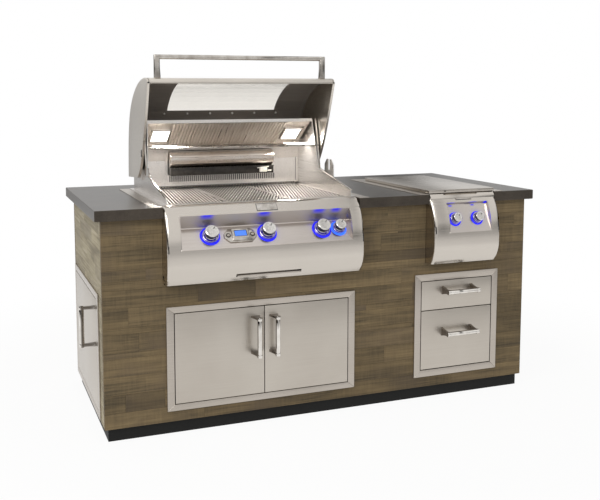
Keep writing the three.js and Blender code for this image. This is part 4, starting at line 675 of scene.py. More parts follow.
# Heat-proof glass of the hood's window, polished: clear, with a faint haze from cooking in clouds of 70 mm
windowGlass, tree, shader = newMaterial("hoodWindowGlass", {
    "Base Color": hexColor("F1EDE6"), "Roughness": 0.04, "IOR": 1.46, "Transmission Weight": 1.0})
smear = addNode(tree, "ShaderNodeTexNoise", {"Scale": 14, "Detail": 4},
                {"Vector": addNode(tree, "ShaderNodeTexCoord").outputs["Object"]})
haze = addNode(tree, "ShaderNodeMapRange", {"From Min": 0.35, "From Max": 0.65, "To Min": 0.03, "To Max": 0.12},
               {"Value": smear.outputs["Fac"]})
link(tree, shader, {"Roughness": haze.outputs["Result"]})
print("finishes ready")

# Planks: bevelled boards in rows, cut where the doors and panels go. Joints are ends of boards along each row,
# tones are given for the darkest and lightest boards by row and place
planks = {"edges": (52.3, 114, 186, 258, 330, 352, 426, 450, 529, 599, 632, 677, 752, 812, 871.7),
          "groove": 0.9, "seed": 7, "spread": 0.15}
frontJoints = {
    1: (-560, 590), 2: (-877, -720, -150, 420), 3: (-330, 250, 700), 4: (-640, 20, 823), 5: (122, 385, 823),
    6: (-820, -260, 470, 823), 7: (-420, 160, 640), 8: (-860, -120, 385, 880), 9: (-582, -340, 330, 760),
    10: (-480, 60, 540), 11: (-790, -20, 152, 460, 830), 12: (-300, 230, 640), 13: (-650, 310, 905),
    14: (-90, 260, 700)}
frontTones = {(2, 0): 0.3, (10, 2): 0.78, (9, 2): 0.74, (2, 1): 0.12, (9, 1): 0.2, (11, 3): 0.16, (5, 2): 0.25,
              (6, 4): 0.22, (5, 3): 0.2, (4, 3): 0.22}
frontHoles = (((-685.3, -400, 122.7), (77.3, -350, 490.3)), ((421.7, -400, 125.7), (792.3, -350, 533.3)),
              ((-722.6, -400, 611.4), (114.6, -350, 900)), ((446.4, -400, 611.4), (777.6, -350, 900)))
leftHoles = (((-970, -273.3, 90.7), (-930, 323.3, 545.3)),)


def plankWall(name, material, slotName, node, low, high, along, joints, tones, holes):
    edges = planks["edges"]
    boards = []
    for row in range(1, len(edges)):
        ends = [low[along], *[j for j in joints.get(row, ()) if low[along] < j < high[along]], high[along]]
        for i in range(len(ends) - 1):
            a, b = list(low), list(high)
            a[along], b[along] = ends[i], ends[i + 1]
            a[2], b[2] = edges[row - 1], edges[row]
            inside = [(p, q) for p, q in holes if all(p[k] < b[k] and q[k] > a[k] for k in (along, 2))]
            if any(all(p[k] <= a[k] and q[k] >= b[k] for k in (along, 2)) for p, q in inside):
                continue
            board = block(f"{name}Board", a, b, planks["groove"], 1)
            for p, q in inside:
                carve(board, block("cutter", p, q, 0))
            # A repeatable spread of tones; the other two colours move the grain, so that no two boards match
            spread = planks["spread"] * math.sin(planks["seed"] + row * 12.9898 + i * 78.233 + along)
            value = tones.get((row, i), 0.5 + spread)
            tone = board.data.attributes.new("boardTone", "FLOAT_COLOR", "FACE")
            for face in board.data.polygons:
                tone.data[face.index].color = (value, (len(boards) * 0.377) % 1, (len(boards) * 0.619) % 1, 1)
            boards.append(board)
    dress(smooth(join(name, boards), 25), material, "island", slotName, node)


plankWall("frontPlankWall", frontPlanks, "planks", "front_cladding", (-959, -387, 52.3), (959, -365, 871.7), 0,
          frontJoints, frontTones, frontHoles)
sideJoints = {row: tuple(sorted(((row * 211 + k * 390) % 730) - 365 for k in (0, 1))) for row in range(1, 15)}
plankWall("endPlankWall", paleLitEndPlanks, "pale_planks", "left_cladding", (-959, -364.7, 52.3), (-937, 364.7, 871.7), 1,
          sideJoints, {}, leftHoles)
plankWall("rightPlankWall", shadedRightPlanks, "planks", "right_cladding", (937, -364.7, 52.3), (959, 364.7, 871.7), 1,
          sideJoints, {}, ())
plankWall("rearPlankWall", frontPlanks, "planks", "rear_cladding", (-959, 365, 52.3), (959, 387, 871.7), 0,
          frontJoints, {}, ())
print("planks ready")

# Curved front panels with their control pockets. Shares are of the bulge, forward, and of the rise, up
bull = {"back": -372, "bulge": 95, "bottom": 612, "rise": 306, "edge": 14, "wall": 2.6, "floorBack": 30, "steps": 40,
        "shares": ((0, 1), (0.26, 0.985), (0.43, 0.935), (0.6, 0.865), (0.745, 0.785), (0.86, 0.69),
                   (0.94, 0.585), (0.985, 0.46), (1, 0.34), (0.975, 0.2), (0.83, 0.075), (0.65, 0))}
bullLine = smoothLine([(bull["back"] - bull["bulge"] * u, bull["bottom"] + bull["rise"] * v)
                       for u, v in bull["shares"]], bull["steps"])
grillPocket = {"left": -666, "right": 60, "bottom": 750, "ridge": 826, "top": 879, "tilt": 42, "sheet": 2, "cuts": 70}
sidePocket = {"left": 520, "right": 731, "bottom": 750, "ridge": 866, "top": 877, "tilt": 22, "sheet": 2, "cuts": 40}
pocketSheets = {"side": 0.4, "near": 1.2, "foldRound": 4, "rim": 3}


# The knob face's lower edge, the fold, the upper edge, the way up the face and the way out of it
def pocketFrame(shape):
    tilt = math.radians(shape["tilt"])
    low = Vector((depthAt(bullLine, shape["bottom"]), shape["bottom"]))
    top = Vector((depthAt(bullLine, shape["top"]), shape["top"]))
    upSlope = Vector((math.sin(tilt), math.cos(tilt)))
    ridge = low + upSlope * ((shape["ridge"] - shape["bottom"]) / math.cos(tilt))
    return low, ridge, top, upSlope, Vector((-math.cos(tilt), math.sin(tilt)))


# Local X right, local Y up the knob face, local Z out of it
def faceMatrix(shape, x, rise):
    low, ridge, top, upSlope, out = pocketFrame(shape)
    y = low.x + upSlope.x * rise + out.x * shape["sheet"]
    z = low.y + upSlope.y * rise + out.y * shape["sheet"]
    return moveBy(x, y, z) @ Matrix.Rotation(math.pi / 2 - math.radians(shape["tilt"]), 4, "X")


def bullPanel(name, x0, x1, shape, slot, slotName, node):
    touch = 0.01
    underFloor = bull["back"] - bull["bulge"] * bull["shares"][-1][0] + bull["floorBack"]
    piece = prism(name, [*bullLine, (bull["back"], bull["bottom"])], "X", x0, x1)
    scoreAround(piece, shape["left"], shape["right"], shape["bottom"], shape["top"])
    if slot:
        scoreAround(piece, *slot)

    # Rolled edges: only the corners between the curved face and the two ends are rounded
    def rolled(a, b):
        atEnd = all(min(abs(p.x - x0), abs(p.x - x1)) < touch for p in (a, b)) and abs(a.x - b.x) < touch
        atBack = all(p.y > bull["back"] - touch for p in (a, b))
        return atEnd and not atBack and not all(p.z < bull["bottom"] + touch for p in (a, b))
    roundEdges(piece, bull["edge"], 7, rolled)

    # The back, the rear of the floor, the pocket and the slot are open
    def gone(c, n):
        if c.y > bull["back"] - touch and n.y > 0.9:
            return True
        if n.z < -0.9 and c.z < bull["bottom"] + touch and c.y > underFloor:
            return True
        inPocket = shape["left"] < c.x < shape["right"] and shape["bottom"] < c.z < shape["top"]
        inSlot = slot and slot[0] < c.x < slot[1] and slot[2] < c.z < slot[3]
        return (inPocket or inSlot) and n.y < 0 and abs(n.x) < 0.5
    bisectAt(piece, (0, underFloor, 0), (0, 1, 0))
    deleteFaces(piece, gone)
    useModifier(piece, "SOLIDIFY", thickness=bull["wall"] * mm, offset=-1)
    dress(smooth(piece, 24), panelSteel, "island", slotName, node)


# The folded sheet in the pocket, open towards the cook, with its end walls
def pocketSheet(name, shape):
    low, ridge, top, upSlope, out = pocketFrame(shape)
    side, rim = pocketSheets["side"], pocketSheets["rim"]
    front = [(y, z) for y, z in bullLine if shape["bottom"] < z < shape["top"]]
    outline = [tuple(low), tuple(ridge), tuple(top), *front]
    piece = prism(name, outline, "X", shape["left"] + side, shape["right"] - side)
    deleteFaces(piece, lambda c, n: abs(n.x) < 0.5 and abs(c.y - depthAt(bullLine, c.z)) < pocketSheets["near"])
    roundEdges(piece, pocketSheets["foldRound"], 4,
               lambda a, b: all(abs(p.y - ridge.x) < 0.1 for p in (a, b)) and abs(a.x - b.x) > 1)
    useModifier(piece, "SOLIDIFY", thickness=shape["sheet"] * mm, offset=-1)

    # Fine squares on the two folded faces, to carry the light that falls on them
    selectFaces(piece, lambda c, n: n.y < -0.15 and abs(n.x) < 0.3
                and shape["left"] + rim < c.x < shape["right"] - rim)
    bpy.ops.mesh.subdivide(number_cuts=shape["cuts"])
    bpy.ops.object.mode_set(mode="OBJECT")
    return piece


# A ring lying on the knob face: an upright edge with a rounded top
def bezelRing(name, outer):
    return turned(name, [(outer - inward, rise) for inward, rise in (
        (6, -0.6), (0, -0.6), (0, 3), (0.6, 4.8), (2, 5.8), (4, 5.8), (5.4, 4.8), (6, 3), (6, -0.6))])


bullPanel("grillPanelSheet", -722, 114, grillPocket, (-442, -166, 629.5, 643.5), "steel", "grill_panel")
bullPanel("sidePanelSheet", 447, 777, sidePocket, None, "steel", "side_panel")
print("curved panels ready")

# Knobs, their rings and their blue light. Rise is straight up from the pocket's lower edge
knobSizes = {
    "big": {"skirt": 23, "neck": 20, "cap": 28, "high": 37, "bezel": 33.5, "glow": 41, "halo": 7, "rise": 46},
    "rear": {"skirt": 19, "neck": 16.5, "cap": 23.5, "high": 34, "bezel": 27, "glow": 34.5, "halo": 8, "rise": 46},
    "side": {"skirt": 17.5, "neck": 15, "cap": 20, "high": 29, "bezel": 24, "glow": 30.5, "halo": 6, "rise": 58}}
knobSpots = {
    "burnerKnob1": ("big", grillPocket, -538.99, "knob_1_body", "burner_knob_1"),
    "burnerKnob2": ("big", grillPocket, -301.99, "knob_2_body", "burner_knob_2"),
    "burnerKnob3": ("big", grillPocket, -63.98, "knob_3_body", "burner_knob_3"),
    "rearBurnerKnob": ("rear", grillPocket, 12.01, "rear_knob_body", "rear_burner_knob"),
    "sideKnob1": ("side", sidePocket, 557.99, "side_knob_1_body", "side_knob_1"),
    "sideKnob2": ("side", sidePocket, 670.0, "side_knob_2_body", "side_knob_2")}
knobParts = {"shaft": 4.4, "shaftDeep": 22.4, "shadeFrom": 7, "shadeBelowTop": 3.2, "markTurn": -38, "markHalf": 1.5,
             "glowShift": (-3, -3.4, 0)}
# How the rings' light falls on the folded sheet: halos on the knob face, and spots under the fold and the upper edge
spillShape = {"slope": 0.2, "crest": 0.85, "crestSize": 9, "aside": 14, "wide": 0.62, "from": 0.62, "fade": 0.8,
              "wall": 0.75, "wallSpot": (812, 24), "cornerSpot": (724, 13)}


# Turned knob: chrome skirt; waist and grip black, painted shade and dark reflection; chrome rim; brushed, slightly
# dished top
def knobPiece(name, size):
    skirt, neck, cap, top = (size[key] for key in ("skirt", "neck", "cap", "high"))
    shaft, deep = knobParts["shaft"], knobParts["shaftDeep"]
    piece = turned(name, [
        (0, deep), (shaft, deep), (shaft, 1), (skirt - 1, 1), (skirt, 2), (skirt - 0.3, 5), (skirt - 1.6, 7),
        (neck + 0.4, 8), (neck, 12), (neck + 1.2, 16), (cap - 2.2, 19.5), (cap - 0.6, 21.5), (cap, 23.5),
        (cap, top - 4), (cap - 0.7, top - 1.8), (cap - 2.4, top - 0.5), (cap - 4.5, top - 0.1), (cap - 6, top - 0.6),
        (cap * 0.4, top - 1.1), (0, top - 1.2)])
    for material in (chrome, blackPlastic, capSteel):
        piece.data.materials.append(material)
    for face in piece.data.polygons:
        c = face.center / mm
        # The sides from the waist up the grip are black: painted shade and dark reflection
        if knobParts["shadeFrom"] < c.z < top - knobParts["shadeBelowTop"]:
            face.material_index = 1
        elif c.z > top - 1.3 and math.hypot(c.x, c.y) < cap - 4.6:
            face.material_index = 2
    return piece


# How much of the blue ring light reaches a spot on the folded sheet, 0 to 1
def ringLight(point, shape):
    low, ridge, top, upSlope, out = pocketFrame(shape)
    s = spillShape
    total = 0
    for sizeName, itsShape, x, *others in knobSpots.values():
        if itsShape is not shape:
            continue
        size = knobSizes[sizeName]
        rise = size["rise"] / math.cos(math.radians(shape["tilt"]))
        dx = point.x - x
        if point.z < ridge.y - 1:
            climb = (Vector((point.y, point.z)) - low).dot(upSlope)
            reach = math.hypot(dx, climb - rise) - size["glow"]
            total += s["slope"] * math.exp(-max(reach, 0) / size["halo"])
            crest = (ridge - low).length - climb
            total += s["crest"] * math.exp(-((dx + s["aside"]) / s["crestSize"]) ** 4
                                           - (crest / s["crestSize"]) ** 4)
        else:
            height = (point.z - ridge.y) / (top.y - ridge.y)
            total += math.exp(-((dx + s["aside"]) / (size["glow"] * s["wide"])) ** 4) \
                * max(0, (height - s["from"]) / (1 - s["from"])) ** s["fade"]
    # On the side panel the last ring also shows in the right-hand wall and in the corner beside it
    if shape is sidePocket and point.x > shape["right"] - 4:
        total = s["wall"] * math.exp(-((point.z - s["wallSpot"][0]) / s["wallSpot"][1]) ** 2)
    elif shape is sidePocket and point.z > ridge.y:
        total += math.exp(-((point.x - s["cornerSpot"][0]) / s["cornerSpot"][1]) ** 4)
    return min(total, 1)


fascias = {"grill_fascia": ("grillFascia", grillPocket, [pocketSheet("grillFasciaSheet", grillPocket)]),
           "side_fascia": ("sideFascia", sidePocket, [pocketSheet("sideFasciaSheet", sidePocket)])}
for name, (sizeName, shape, x, body, node) in knobSpots.items():
    size = knobSizes[sizeName]
    bezel, halo = size["bezel"], size["glow"]
    spot = faceMatrix(shape, x, size["rise"] / math.cos(math.radians(shape["tilt"])))
    dress(place(knobPiece(name, size), spot), None, body, "bright_steel", node)
    ring = place(bezelRing(f"{name}Bezel", bezel), spot)
    fascias["grill_fascia" if shape is grillPocket else "side_fascia"][2].append(ring)
    glow = turned(f"{name}Glow", [(bezel - 1, 0.1), (halo, 0.1), (halo - 0.6, 1.2), (halo - 3, 2.2), (bezel - 1, 2.6),
                                  (bezel - 1, 0.1)])
    place(glow, spot @ moveBy(*knobParts["glowShift"]))
    dress(glow, paleRingGlow if sizeName == "rear" else ringGlow, "island", "lens")
    mark = block(f"{name}Mark", (-knobParts["markHalf"], size["cap"] * 0.35, size["high"] - 1.4),
                 (knobParts["markHalf"], size["cap"] - 5.4, size["high"] - 0.3), 0.3)
    dress(place(mark, spot @ turnBy(knobParts["markTurn"], "Z")), blackPlastic, body, "dark_liner")
for node, (name, shape, parts) in fascias.items():
    sheet = join(name, parts)
    light = sheet.data.attributes.new("ringLight", "FLOAT", "POINT")
    # Marks the upper fold, which the finish paints darker as shade and makes duller
    fold = sheet.data.attributes.new("upperFoldDullShade", "FLOAT", "POINT")
    crest, rim = pocketFrame(shape)[1], pocketSheets["rim"]
    for vertex in sheet.data.vertices:
        spot = vertex.co / mm
        onFold = spot.z > crest.y + 0.5 and shape["left"] + rim < spot.x < shape["right"] - rim
        light.data[vertex.index].value = ringLight(spot, shape)
        fold.data[vertex.index].value = 1 if onFold else 0
    dress(smooth(sheet, 30), fasciaSteel, "island", "bright_steel", node)
print("knobs ready")

# Thermometer display: an eight-sided plate, a raised block with the screen sunk into it, and a button on each side
gauge = {"x": -418.99, "rise": 54, "halfWide": 67, "halfHigh": 31, "chamfer": 22, "plate": 6, "blockWide": 36,
         "blockHigh": 27, "block": 13, "screenWide": 26, "screenLow": -10, "screenHigh": 18, "button": 50, "gap": 0.3,
         "wellFrom": 1.9, "wellRadius": 6.6, "above": 20, "recessFrom": 9.7, "border": 2}
gaugeSpot = faceMatrix(grillPocket, gauge["x"], gauge["rise"])
w, h, c, side = gauge["halfWide"], gauge["halfHigh"], gauge["chamfer"], gauge["button"]
plate = prism("gaugePlate", [(-w, -h + c), (-w + c, -h), (w - c, -h), (w, -h + c), (w, h - c), (w - c, h),
                             (-w + c, h), (-w, h - c)], "Z", gauge["gap"], gauge["plate"], 1.6, 3)
for x in (-side, side):
    carve(plate, bar("well", (x, 0, gauge["wellFrom"]), (x, 0, gauge["above"]), gauge["wellRadius"], 0))
raised = block("gaugeBlock", (-gauge["blockWide"], -gauge["blockHigh"], 5),
               (gauge["blockWide"], gauge["blockHigh"], gauge["block"]), 3, 4)
w, low, high, gap = gauge["screenWide"], gauge["screenLow"], gauge["screenHigh"], gauge["gap"]
carve(raised, block("recess", (-w - gap, low - gap, gauge["recessFrom"]), (w + gap, high + gap, gauge["above"]), 0))
housing = place(join("displayHousing", [plate, raised]), gaugeSpot)
dress(smooth(housing, 30), mirrorSteel, "island", "bright_steel", "display_housing")
washers = []
for x in (-side, side):
    washer = turned("buttonWasher", [(6.9, 5.8), (10.4, 5.8), (10.2, 6.7), (9.6, 7.1), (7.4, 7.1), (6.9, 6.6),
                                     (6.9, 5.8)], 40)
    washers.append(place(washer, gaugeSpot @ moveBy(x, 0, 0)))
dress(join("buttonWashers", washers), castIron, "island", "steel")
edge = block("screenEdge", (-w, low, 9.9), (w, high, 11.4), 0.3)
dress(place(edge, gaugeSpot), blackPlastic, "island", "dark_liner")
border = gauge["border"]
screen = block("displayScreen", (-w + border, low + border, 10), (w - border, high - border, 12.7), 0.5)
dress(place(screen, gaugeSpot), screenGlow, "island", "screen", "display_screen")
for name, x, body, node in (("displayButtonLeft", -side, "button_left_body", "display_button_left"),
                            ("displayButtonRight", side, "button_right_body", "display_button_right")):
    button = turned(name, [(0, 4), (6, 4), (6, 8.2), (5.6, 9), (4.6, 9.5), (2.5, 9.2), (0, 9.1)], 32)
    dress(place(button, gaugeSpot @ moveBy(x, 0, 0)), sheetSteel, body, "steel", node)
print("display ready")

# Hood: curved skin, folded lip and end caps. Shares are of its depth and its height
hood = {"front": -156, "back": 285, "low": 972, "high": 1414.6, "left": -722, "right": 114, "middle": -304,
        "cap": 10, "capGap": 1.5, "wall": 2.2, "edge": 5, "steps": 48, "rimSteps": 20, "openHalf": 412,
        "awaySquared": 200,
        "shares": ((0, 0.964), (0.018, 0.989), (0.181, 1), (0.49, 0.937), (0.744, 0.799), (0.88, 0.643),
                   (0.957, 0.434), (0.995, 0.122), (1, 0)),
        "rim": ((0.537, 0.03), (0.424, 0.1), (0.297, 0.267), (0.184, 0.493), (0.086, 0.719), (0, 0.95)),
        "lip": ((0.3, 0), (2.4, 2), (9, -5), (8, -7), (4, -3)),
        "windowStart": 0.135, "windowEnd": 0.59, "windowHalf": 272}


def hoodSpot(share):
    return (hood["front"] + (hood["back"] - hood["front"]) * share[0],
            hood["low"] + (hood["high"] - hood["low"]) * share[1])


hoodSteps = hood["steps"]
hoodLine = smoothLine([hoodSpot(s) for s in hood["shares"]], hoodSteps)
rimLine = smoothLine([hoodSpot(s) for s in hood["rim"]], hood["rimSteps"])


# The spot and the way on at a share of the skin's length, from its front edge
def hoodAlong(share):
    i = min(int(share * hoodSteps), hoodSteps - 1)
    (y0, z0), (y1, z1) = hoodLine[i], hoodLine[i + 1]
    t = share * hoodSteps - i
    return Vector((0, y0 + (y1 - y0) * t, z0 + (z1 - z0) * t)), Vector((0, y1 - y0, z1 - z0)).normalized()


def nearestStep(y, z):
    return min(range(hoodSteps), key=lambda i: (((hoodLine[i][0] + hoodLine[i + 1][0]) / 2 - y) ** 2
                                               + ((hoodLine[i][1] + hoodLine[i + 1][1]) / 2 - z) ** 2))


skin = prism("hoodSkin", [*hoodLine, *rimLine], "X", hood["left"], hood["right"])
onSkin = {(round(y, 2), round(z, 2)) for y, z in hoodLine}
roundEdges(skin, hood["edge"], 4, lambda a, b: abs(a.x - b.x) < 0.01 and all(
    (round(p.y, 2), round(p.z, 2)) in onSkin for p in (a, b)))
for share in (hood["windowStart"], hood["windowEnd"]):
    bisectAt(skin, *hoodAlong(share))
for x in (hood["middle"] - hood["windowHalf"], hood["middle"] + hood["windowHalf"]):
    bisectAt(skin, (x, 0, 0), (1, 0, 0))


# The underside, away from the skin's line, and the window are open
def skinGone(c, n):
    if abs(n.x) > 0.5 or abs(c.x - hood["middle"]) > hood["openHalf"]:
        return False
    step = nearestStep(c.y, c.z)
    y, z = hoodAlong((step + 0.5) / hoodSteps)[0].yz
    if (c.y - y) ** 2 + (c.z - z) ** 2 > hood["awaySquared"]:
        return True
    inWindow = abs(c.x - hood["middle"]) < hood["windowHalf"]
    return inWindow and hood["windowStart"] * hoodSteps - 0.8 < step < hood["windowEnd"] * hoodSteps - 0.2


deleteFaces(skin, skinGone)
useModifier(skin, "SOLIDIFY", thickness=hood["wall"] * mm, offset=-1)
hoodParts = [skin]
for x0, x1 in ((hood["left"] + hood["capGap"], hood["left"] + hood["cap"]),
               (hood["right"] - hood["cap"], hood["right"] - hood["capGap"])):
    hoodParts.append(prism("hoodCap", [*hoodLine, *rimLine], "X", x0, x1))
y0, z0 = hoodLine[0]
hoodParts.append(prism("hoodLip", [(y0 + y, z0 + z) for y, z in hood["lip"]], "X",
                       hood["left"] + hood["cap"], hood["right"] - hood["cap"]))
dress(smooth(join("hoodShell", hoodParts), 26), hoodSteel, "hood", "steel", "hood_shell")

# Its handle: a round bar between two posts that widen downwards
handle = {"y": -122, "z": 1501, "radius": 9.9, "left": -686, "right": 78, "inset": 5, "foot": 1413.4, "waist": 1455,
          "postWide": 27, "postTop": 24, "halfDeep": 9, "above": 9.5}
parts = [bar("hoodBar", (handle["left"] + handle["inset"], handle["y"], handle["z"]),
             (handle["right"] - handle["inset"], handle["y"], handle["z"]), handle["radius"], 1.5, 48)]
for x, inward in ((handle["left"], 1), (handle["right"], -1)):
    foot, waist, top = x + inward * handle["postWide"], x + inward * handle["postTop"], handle["z"] + handle["above"]
    outline = [(x, handle["foot"]), (foot, handle["foot"]), (waist, handle["waist"]), (waist, top), (x, top)]
    parts.append(prism("hoodPost", outline, "Y", handle["y"] - handle["halfDeep"],
                       handle["y"] + handle["halfDeep"], 3.2, 4))
dress(smooth(join("hoodHandle", parts), 30), mirrorSteel, "hood", "bright_steel", "hood_handle")
print("hood ready")

# Bar pulls: a round bar with a collar and a flared post near each end
pulls = {"radius": 9.8, "collar": 10.8, "collarLong": 12, "collarOver": 1.4, "standoff": 54, "post": 9, "postIn": 1.5,
         "flare": 19.6, "flareSteps": 8, "clear": 0.4, "flankFrom": 0.62, "flankOver": 0.4}


# Local X along the bar, local Y towards the face it stands on
def barPull(name, length):
    half, s = length / 2, pulls
    parts = [bar("pullBar", (-half, -s["standoff"], 0), (half, -s["standoff"], 0), s["radius"], 1)]
    for side in (-1, 1):
        parts.append(bar("pullCollar", (side * (half + s["collarOver"]), -s["standoff"], 0),
                         (side * (half - s["collarLong"]), -s["standoff"], 0), s["collar"], 1.4, 40))
        edge = []
        for t in range(s["flareSteps"] + 1):
            edge.append((-s["clear"] - (s["standoff"] - s["clear"]) * t / s["flareSteps"],
                         s["radius"] + (s["flare"] - s["radius"]) * (1 - t / s["flareSteps"]) ** 2))
        x0, x1 = sorted((side * (half - s["postIn"]), side * (half - s["postIn"] - s["post"])))
        parts.append(prism("pullPost", edge + [(y, -z) for y, z in edge[::-1]], "X", x0, x1, 1.6, 3))
    return smooth(join(name, parts), 30)


# Places the pull and marks its painted dark reflection: how far its surface turns away from the face it stands on, 1
# along its flanks
def dressPull(pull, spot, out, body, node):
    place(pull, spot)
    flankShade = pull.data.attributes.new("flankShade", "FLOAT", "POINT")
    for vertex in pull.data.vertices:
        turnedAway = (pulls["flankFrom"] - abs(vertex.normal.dot(Vector(out)))) / pulls["flankOver"]
        flankShade.data[vertex.index].value = min(1, max(0, turnedAway))
    dress(pull, pullSteel, body, "bright_steel", node)


# Doors, drawers and their frames. Frame is left, right, bottom, top; low and high are the doors' own
faceFront = -393.3
frames = {"wide": 30, "doorHigh": 25.5, "deep": 6, "round": 1.2, "lap": 3, "jambDeep": 36, "sheet": 3}
fronts = {"thick": 20, "sheet": 2, "round": 1.8}
doors = {"frame": (-712, 104, 96, 517), "left": (-679, -305.5), "right": (-302.5, 71), "low": 124.5, "high": 488.5,
         "pullLong": 162, "middle": -304, "pullOut": 39, "pullZ": 373}


# Four mitred strips with a sheet box behind them, as a list of pieces
def framedBox(name, boxName, corners, high, face, deep, openTest, sheet):
    x0, x1, z0, z1 = corners
    wide, lap = frames["wide"], frames["lap"]
    outer = [(x0, z0), (x1, z0), (x1, z1), (x0, z1)]
    inner = [(x0 + wide, z0 + high), (x1 - wide, z0 + high), (x1 - wide, z1 - high), (x0 + wide, z1 - high)]
    strips = []
    for k in range(4):
        n = (k + 1) % 4
        strips.append(prism(f"{name}Strip", [outer[k], outer[n], inner[n], inner[k]], "Y", face,
                            face + frames["deep"], frames["round"], 3))
    strips.append(pan(boxName, (x0 + wide - lap, face + 3, z0 + high - lap),
                      (x1 - wide + lap, face + deep, z1 - high + lap), openTest, sheet, 0))
    return strips


def doorPan(name, x0, x1, z0, z1, face):
    piece = pan(name, (x0, face, z0), (x1, face + fronts["thick"], z1), lambda c, n: n.y > 0.9, fronts["sheet"], 0)
    return bevelled(piece, fronts["round"], 3, 40)


surround = join("accessDoorFrame", framedBox(
    "accessFrame", "accessJamb", doors["frame"], frames["doorHigh"], faceFront, frames["jambDeep"],
    lambda c, n: abs(n.y) > 0.9, frames["sheet"]))
dress(smooth(surround, 30), sheetSteel, "island", "steel", "access_door_frame")
for name, (a, b), side, body, node, pullNode in (
        ("accessDoorLeft", doors["left"], -1, "access_door_left_body", "access_door_left", "access_handle_left"),
        ("accessDoorRight", doors["right"], 1, "access_door_right_body", "access_door_right", "access_handle_right")):
    door = doorPan(name, a, b, doors["low"], doors["high"], faceFront)
    dress(smooth(door, 30), doorSteel, body, "steel", node)
    spot = moveBy(doors["middle"] + side * doors["pullOut"], faceFront, doors["pullZ"])
    dressPull(barPull(f"{name}Pull", doors["pullLong"]), spot @ turnBy(90, "Y"), (0, -1, 0), body, pullNode)

# Drawers: a case with four rails, and each drawer a front with its tray behind it
drawers = {"frame": (395, 819, 99, 560), "x": (428, 786), "lower": (132, 395.5), "upper": (398.5, 527),
           "floors": ((146, 279), (412.5, 481.3)), "back": 120, "trayFrom": 18.4, "caseDeep": 520, "caseSheet": 2.6,
           "pullLong": 158, "pullX": 607, "lowPull": 297, "highPull": 484, "railFrom": 36, "railTo": 519,
           "railWide": 12, "railHigh": (-4.3, -0.4)}
x0, x1, z0, z1 = drawers["frame"]
parts = framedBox("drawerFrame", "drawerCase", drawers["frame"], frames["wide"], faceFront, drawers["caseDeep"],
                  lambda c, n: n.y < -0.9, drawers["caseSheet"])
inner, rail, (under, over) = frames["wide"], drawers["railWide"], drawers["railHigh"]
for floorZ, wallZ in drawers["floors"]:
    for a, b in ((x0 + inner, x0 + inner + rail), (x1 - inner - rail, x1 - inner)):
        parts.append(block("drawerRail", (a, faceFront + drawers["railFrom"], floorZ + under),
                           (b, faceFront + drawers["railTo"], floorZ + over), 0.5))
dress(smooth(join("drawerFrame", parts), 30), sheetSteel, "island", "steel", "drawer_frame")
for name, (low, high), (floorZ, wallZ), pullZ, body, node, pullNode in (
        ("drawerLower", drawers["lower"], drawers["floors"][0], drawers["lowPull"], "drawer_lower_body",
         "drawer_lower", "drawer_pull_lower"),
        ("drawerUpper", drawers["upper"], drawers["floors"][1], drawers["highPull"], "drawer_upper_body",
         "drawer_upper", "drawer_pull_upper")):
    a, b = drawers["x"]
    front = block(f"{name}Front", (a, faceFront, low), (b, faceFront + fronts["thick"], high), 2, 3)
    tray = pan(f"{name}Tray", (a + 1, faceFront + drawers["trayFrom"], floorZ), (b - 1, drawers["back"], wallZ),
               lambda c, n: n.z > 0.9, fronts["sheet"], 0)
    dress(smooth(join(name, [front, tray]), 30), doorSteel, body, "steel", node)
    spot = moveBy(drawers["pullX"], faceFront, pullZ)
    dressPull(barPull(f"{name}Pull", drawers["pullLong"]), spot, (0, -1, 0), body, pullNode)

# The same kit on the left end: made as if on the front, then turned to face -X
endKit = {"frame": (-350, 300, 64, 572), "x": (-317, 267), "low": 92.5, "high": 543.5, "face": -965.3,
          "pullLong": 162, "pullX": 244, "pullZ": 433}
toLeft = turnBy(-90, "Z")
surround = join("endDoorFrame", framedBox(
    "endFrame", "endJamb", endKit["frame"], frames["doorHigh"], endKit["face"], frames["jambDeep"],
    lambda c, n: abs(n.y) > 0.9, frames["sheet"]))
dress(smooth(place(surround, toLeft), 30), sheetSteel, "island", "steel", "end_door_frame")
door = place(doorPan("endDoor", *endKit["x"], endKit["low"], endKit["high"], endKit["face"]), toLeft)
dress(smooth(door, 30), doorSteel, "end_door_body", "steel", "end_door")
spot = toLeft @ moveBy(endKit["pullX"], endKit["face"], endKit["pullZ"]) @ turnBy(90, "Y")
dressPull(barPull("endDoorPull", endKit["pullLong"]), spot, (-1, 0, 0), "end_door_body", "end_door_pull")
print("doors and drawers ready")

# Side burner cover, shut: a shallow lid with rolled edges, a front lip on two lugs, and hinge knuckles
lid = {"x": (447, 777), "y": (-410, 205), "z": (918.9, 931.7), "middle": 612, "sheet": 2, "round": 1.9,
       "handleHalf": 88, "handleOut": 12, "handleZ": (4.4, 9), "lugAt": 84, "lugHalf": 4, "lugOut": 8,
       "lugZ": (3.6, 10), "hingeY": 217, "hingeZ": 924, "knuckle": (84, 124), "knuckleRadius": 5.7}
(x0, x1), (y0, y1), (z0, z1), middle = lid["x"], lid["y"], lid["z"], lid["middle"]
cover = pan("sideCover", (x0, y0, z0), (x1, y1, z1), lambda c, n: n.z < -0.9, lid["sheet"], 0)
cover = bevelled(cover, lid["round"], 4, 40)
low, high = lid["handleZ"]
lipBlock = block("lidHandle", (middle - lid["handleHalf"], y0 - lid["handleOut"], z0 + low),
                 (middle + lid["handleHalf"], y0 + 1, z0 + high), 1.8, 3)
lugs, knuckles = [], []
